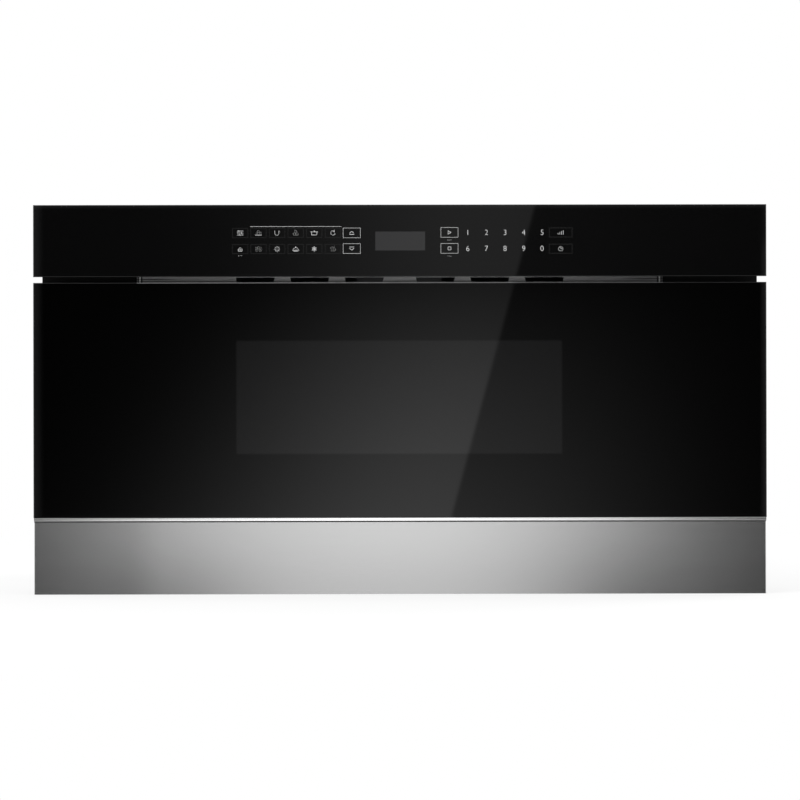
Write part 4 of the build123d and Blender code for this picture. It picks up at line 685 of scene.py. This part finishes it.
def board(place):
    upright = place.node("Mapping", {"Vector": place, "Rotation": (math.pi / 2, 0.0, 0.0)})
    tracks = place.node("TexBrick", {
        "Vector": upright, "Scale": 60.0, "Mortar Size": 0.06, "Mortar Smooth": 0.4,
        "Color1": (0.012, 0.10, 0.04, 1.0), "Color2": (0.016, 0.125, 0.05, 1.0),
        "Mortar": (0.03, 0.20, 0.085, 1.0)})
    pads = rise(place.node("TexVoronoi", {"Vector": place, "Scale": 260.0}), 0.16, 0.10)
    return {"Base Color": mix(pads, tracks, (0.62, 0.60, 0.55, 1.0)), "Roughness": 0.30 + pads * 0.1}


def winding(place):
    _, along, up = axes(place)
    front, back = TRANSFORMER[0][1], TRANSFORMER[1][1]
    coil = between(along, front, front + COIL_DEPTH, COIL_SOFT)
    coil = coil + between(along, back - COIL_DEPTH, back, COIL_SOFT)
    turns = place.math("SINE", up * TURNS) * 0.5 + 0.5
    leaves = place.math("SINE", along * LEAVES) * 0.5 + 0.5
    copper = mix(turns, (0.42, 0.14, 0.05, 1.0), (0.62, 0.25, 0.10, 1.0))
    core = mix(leaves, (0.055, 0.035, 0.025, 1.0), (0.11, 0.075, 0.055, 1.0))
    return {"Base Color": mix(coil, core, copper), "Roughness": 0.30 + leaves * 0.15,
            "Normal": relief(turns * 0.5 + leaves * 0.5, 0.4, 0.0001)}


def mill(place):
    rolled = noise(place, 1.0, 3.0, (40.0, 40.0, 700.0))
    return {"Base Color": mix(rolled, grey(0.68), grey(0.84)), "Roughness": 0.26 + rolled * 0.16}


finish("circuit_board", board)
finish("core_and_winding", winding, Metallic=0.35)
finish("mill_aluminium", mill, Metallic=1.0)
dress("circuit_board", "touch_sensor_board", "control_board", "noise_filter_board")
dress("core_and_winding", "hv_transformer")
dress("mill_aluminium", "stirrer_antenna", "magnetron", "hv_capacitor")
undressed = [name for name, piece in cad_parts.items()
             if piece.material_slots[0].material not in finishes.values()]
print("pieces without a finish:", undressed)

# %% [markdown]
# The keypad is ink on the glass, white for the marks and nearly black for the faint frames. Numbers are
# letters of a plain typeface; a text object could stay text, but a finished piece has its place in its mesh,
# so each number is turned into a mesh, laid upright and moved to its pad. The ink is five hundredths of a
# millimetre thick.

# %% Printed numbers
GLASS_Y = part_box("control_glass")[0][1]
INK, INK_SINK = 0.00005, 0.00001
INK_MIDDLE = GLASS_Y - INK / 2 + INK_SINK
INK_FRONT, INK_BACK = INK_MIDDLE - INK / 2, INK_MIDDLE + INK / 2
PX = 0.0010355  # metres of the front in one pixel of the reference
PX_CENTRE, PX_TOP, TOP_Z = 400.1, 205.0, 0.391
WELD = 1e-7


def from_picture(x, y):
    """A place on the front from the reference's pixels, in metres."""
    return (x - PX_CENTRE) * PX, TOP_Z - (y - PX_TOP) * PX


def new_piece(name, shape, finish_name, body):
    """Turns a bmesh into a finished piece that rides on a body."""
    bmesh.ops.remove_doubles(shape, verts=shape.verts, dist=WELD)
    bmesh.ops.recalc_face_normals(shape, faces=shape.faces)
    mesh = bpy.data.meshes.new(name)
    shape.to_mesh(mesh)
    shape.free()
    made = bpy.data.objects.new(name, mesh)
    scene.collection.objects.link(made)
    made.data.materials.append(finishes[finish_name])
    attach(made, body)
    print(name, len(mesh.polygons), "faces")


def printed(place):
    fleck = noise(place, 2500.0, 2.0)
    return {"Base Color": mix(fleck, grey(0.74), grey(0.86)), "Roughness": 0.30 + fleck * 0.10}


def faint(place):
    fleck = noise(place, 2500.0, 2.0)
    return {"Base Color": mix(fleck, grey(0.0075), grey(0.0105)), "Roughness": 0.10 + fleck * 0.05}


finish("white_ink", printed)
finish("faint_ink", faint, IOR=1.5)

DIGIT_HEIGHT = 0.0053
EXTRUDE, THINNER = 0.01, -0.022
DIGIT_X = (468.0, 486.6, 505.2, 523.8, 542.2)
DIGIT_Y = (232.9, 248.9)
numbers = bmesh.new()
for index, digit in enumerate("1234567890"):
    x, z = from_picture(DIGIT_X[index % 5], DIGIT_Y[index // 5])
    letter = bpy.data.curves.new("number", "FONT")
    letter.body, letter.size, letter.extrude, letter.offset = digit, 1.0, EXTRUDE, THINNER
    holder = bpy.data.objects.new("number", letter)
    flat = bpy.data.meshes.new_from_object(holder)
    low = Vector(map(min, *[vertex.co for vertex in flat.vertices]))
    high = Vector(map(max, *[vertex.co for vertex in flat.vertices]))
    size = DIGIT_HEIGHT / (high.y - low.y)
    flat.transform(Matrix.Translation(-(low + high) / 2))
    flat.transform(Matrix.Diagonal((size, size, INK / (2 * EXTRUDE), 1.0)))
    flat.transform(Matrix.Rotation(math.pi / 2, 4, "X"))
    flat.transform(Matrix.Translation((x, INK_MIDDLE, z)))
    numbers.from_mesh(flat)
    bpy.data.objects.remove(holder)
    bpy.data.meshes.remove(flat)
new_piece("keypad_numbers", numbers, "white_ink", "chassis")

# %% [markdown]
# Round four pads runs a bright printed frame, and fourteen more have a faint one. All are the same thing, a
# rectangle with a smaller rectangle taken out. Four rings of corners draw it: outside and inside, each in
# front and at the glass. Faces from ring to ring close it, so the frame is one solid without inner walls.

# %% Pad frames
def plate(shape, x, z, width, height, turn=0.0):
    """A thin printed rectangle, turned about its middle."""
    made = bmesh.ops.create_cube(shape, size=1.0)["verts"]
    bmesh.ops.scale(shape, verts=made, vec=(width, INK, height))
    bmesh.ops.rotate(shape, verts=made, matrix=Matrix.Rotation(turn, 3, "Y"))
    bmesh.ops.translate(shape, verts=made, vec=(x, INK_MIDDLE, z))


def outline(shape, x, z, width, height, stroke):
    """A printed frame, closed from ring to ring of corners."""
    rings = []
    for inset, y in ((0.0, INK_FRONT), (0.0, INK_BACK), (stroke, INK_BACK), (stroke, INK_FRONT)):
        half_width, half_height = width / 2 - inset, height / 2 - inset
        rings.append([shape.verts.new((x + side * half_width, y, z + level * half_height))
                      for side, level in ((-1, -1), (1, -1), (1, 1), (-1, 1))])
    for ring, following in zip(rings, rings[1:] + rings[:1]):
        for corner in range(4):
            after = (corner + 1) % 4
            shape.faces.new((ring[corner], ring[after], following[after], following[corner]))


BRIGHT_PADS = [(352.0, 233.2), (352.0, 248.85), (449.7, 232.85), (449.7, 248.8)]
FAINT_X, FAINT_Y = (240.5, 258.8, 277.4, 296.0, 314.5, 333.2), (233.15, 249.2)
FAINT_PADS = [(x, y) for y in FAINT_Y for x in FAINT_X]
WIDE_PADS = [(560.9, 233.0), (560.9, 249.3)]
FRAME_STROKE, FAINT_STROKE = 0.00023, 0.0008
BRIGHT_SIZE, FAINT_SIZE, WIDE_SIZE = (17.4 * PX, 10.0 * PX), (16.2 * PX, 9.9 * PX), (23.6 * PX, 9.9 * PX)
LINE_SPOT, LINE_LENGTH = (296.05, 226.75), 91.3 * PX
bright_frames = bmesh.new()
for x, y in BRIGHT_PADS:
    outline(bright_frames, *from_picture(x, y), *BRIGHT_SIZE, FRAME_STROKE)
plate(bright_frames, *from_picture(*LINE_SPOT), LINE_LENGTH, FRAME_STROKE)
new_piece("keypad_frames", bright_frames, "white_ink", "chassis")
faint_frames = bmesh.new()
for x, y in FAINT_PADS:
    outline(faint_frames, *from_picture(x, y), *FAINT_SIZE, FAINT_STROKE)
for x, y in WIDE_PADS:
    outline(faint_frames, *from_picture(x, y), *WIDE_SIZE, FAINT_STROKE)
new_piece("keypad_faint_frames", faint_frames, "faint_ink", "chassis")

# %% [markdown]
# Each framed pad carries a plain pictogram, and three of them a row of dots as well. They are drawn from
# three strokes only: a straight bar, an arc made of short bars, and a round dot.

# %% Strokes
STROKE = 0.00036
ARC_STEP, LEAST_BARS, DOT_SIDES = 20, 4, 16


def bar(shape, x, z, length, turn=0.0):
    """A printed bar, turned by degrees anticlockwise about its middle."""
    plate(shape, x, z, length + STROKE, STROKE, -math.radians(turn))


def arc(shape, x, z, radius, start=0.0, sweep=360.0):
    """A printed arc, angles in degrees anticlockwise from the right."""
    steps = max(LEAST_BARS, round(sweep / ARC_STEP))
    length = 2 * radius * math.sin(math.radians(sweep / steps / 2))
    for step in range(steps):
        angle = math.radians(start + sweep * (step + 0.5) / steps)
        middle = (x + radius * math.cos(angle), z + radius * math.sin(angle))
        bar(shape, *middle, length, math.degrees(angle) + 90.0)


def dot(shape, x, z, radius):
    """A round printed dot."""
    made = bmesh.ops.create_cone(shape, cap_ends=True, segments=DOT_SIDES, radius1=radius, radius2=radius,
                                 depth=INK)["verts"]
    bmesh.ops.rotate(shape, verts=made, matrix=Matrix.Rotation(math.pi / 2, 3, "X"))
    bmesh.ops.translate(shape, verts=made, vec=(x, INK_MIDDLE, z))


print("stroke", STROKE)

# %% [markdown]
# A pictogram is a short list of such strokes: the kind, the place across and up, the length or radius, and
# the angles. All lengths are in units of 0.6 mm, so one loop can draw every sign at the size of its pad.

# %% Pictograms
UNIT = 0.0006
PICTOGRAMS = {
    "sliders": [(bar, 0, 3.4, 10), (bar, 0, 0, 10), (bar, 0, -3.4, 10),
                (dot, -2.4, 3.4, 1), (dot, 2.4, 0, 1), (dot, -0.6, -3.4, 1)],
    "drops": [(arc, -3, 0, 1.7), (arc, 3, 0, 1.7), (arc, 0, 2.8, 1.7), (bar, 0, -3.6, 11)],
    "cup": [(bar, -4, 1.5, 4, 90), (bar, 3, 1.5, 4, 90), (arc, -0.5, -0.5, 3.5, 180, 180),
            (arc, 3, 1.2, 1.9, -90, 180)],
    "kernels": [(arc, -2.4, -1.9, 2.1), (arc, 2.4, -1.9, 2.1), (arc, 0, 2, 2.1)],
    "pot": [(bar, -4.6, -1.2, 4.6, 90), (bar, 4.6, -1.2, 4.6, 90), (bar, 0, -3.5, 9), (bar, 0, 1.8, 12.5),
            (dot, 0, 3.2, 0.8)],
    "turn": [(arc, 0, 0, 3.7, 50, 290), (bar, 1.6, 3.9, 2.4, 40), (bar, 1.6, 2.3, 2.4, -40)],
    "lock": [(bar, 0, -3.8, 6.4), (bar, 0, -0.2, 6.4), (bar, -3.2, -2, 3.6, 90), (bar, 3.2, -2, 3.6, 90),
             (arc, 0, 0, 2.3, 0, 180), (dot, 0, -2, 0.6)],
    "waves": [(arc, step * 3, row * 3, 1.5, 90 - 90 * (-1) ** step, 180)
              for row in (-1, 0, 1) for step in (-1, 0, 1)],
    "sun": [(arc, 0, 0, 2)] + [(bar, 3.9 * math.cos(turn * math.pi / 4), 3.9 * math.sin(turn * math.pi / 4),
                                1.6, 45 * turn) for turn in range(8)],
    "cover": [(arc, 0, -2.2, 4.6, 0, 180), (bar, 0, -2.2, 11.5), (bar, 0, -3.8, 7), (dot, 0, 3.4, 0.7)],
    "frost": [(bar, 0, 0, 8.6, 60 * turn + 30) for turn in range(3)]
             + [(dot, 3.1 * math.cos(turn * math.pi / 3), 3.1 * math.sin(turn * math.pi / 3), 0.45)
                for turn in range(6)],
    "steam": [(arc, 3 * step, side * 1.6, 1.6, 90 * side, 180) for step in (-1, 0, 1) for side in (-1, 1)],
    "go": [(bar, -2.4, 0, 6, 90), (bar, 0.2, 1.5, 6, -30), (bar, 0.2, -1.5, 6, 30)],
    "halt": [(bar, 0, 2.6, 5.2), (bar, 0, -2.6, 5.2), (bar, 2.6, 0, 5.2, 90), (bar, -2.6, 0, 5.2, 90)],
    "open": [(bar, -1.9, 1.2, 4.9, 40), (bar, 1.9, 1.2, 4.9, -40), (bar, 0, -2.6, 7.4)],
    "close": [(bar, -1.9, -1.2, 4.9, -40), (bar, 1.9, -1.2, 4.9, 40), (bar, 0, 2.6, 7.4)],
    "power": [(bar, 3 * step - 4.5, 0.8 * step - 2.4, 1.6 * step + 1.6, 90) for step in range(4)],
    "clock": [(arc, 0, 0, 3.8), (bar, 0, 1.2, 2.4, 90), (bar, 1, 0, 2)],
    "hint": [(dot, -2.6, 0, 0.4), (dot, 0, 0, 0.4), (dot, 2.6, 0, 0.4)],
}
HINT_SPOTS = [(240.3, 255.9), (449.7, 240.4), (449.7, 256.5)]
FAINT_SIGNS = ["sliders", "drops", "cup", "kernels", "pot", "turn", "lock", "waves", "sun", "cover", "frost",
               "steam"]
signs = list(zip(FAINT_SIGNS, FAINT_PADS)) + list(zip(["open", "close", "go", "halt"], BRIGHT_PADS))
signs += list(zip(["power", "clock"], WIDE_PADS))
signs += [("hint", spot) for spot in HINT_SPOTS]
marks = bmesh.new()
for name, spot in signs:
    x, z = from_picture(*spot)
    for stroke, across, up, size, *angles in PICTOGRAMS[name]:
        stroke(marks, x + across * UNIT, z + up * UNIT, size * UNIT, *angles)
new_piece("keypad_marks", marks, "white_ink", "chassis")

# %% [markdown]
# Last, the sizes are printed: how far the dressed object's box differs from the frame's box, in millimetres.

# %% Sizes and finish
visual_box = [list(corner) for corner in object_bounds()]
growth = [round((v - c) * 1000, 3) for a, b in zip(cad_box, visual_box) for c, v in zip(a, b)]
print("grows by", growth, "mm")
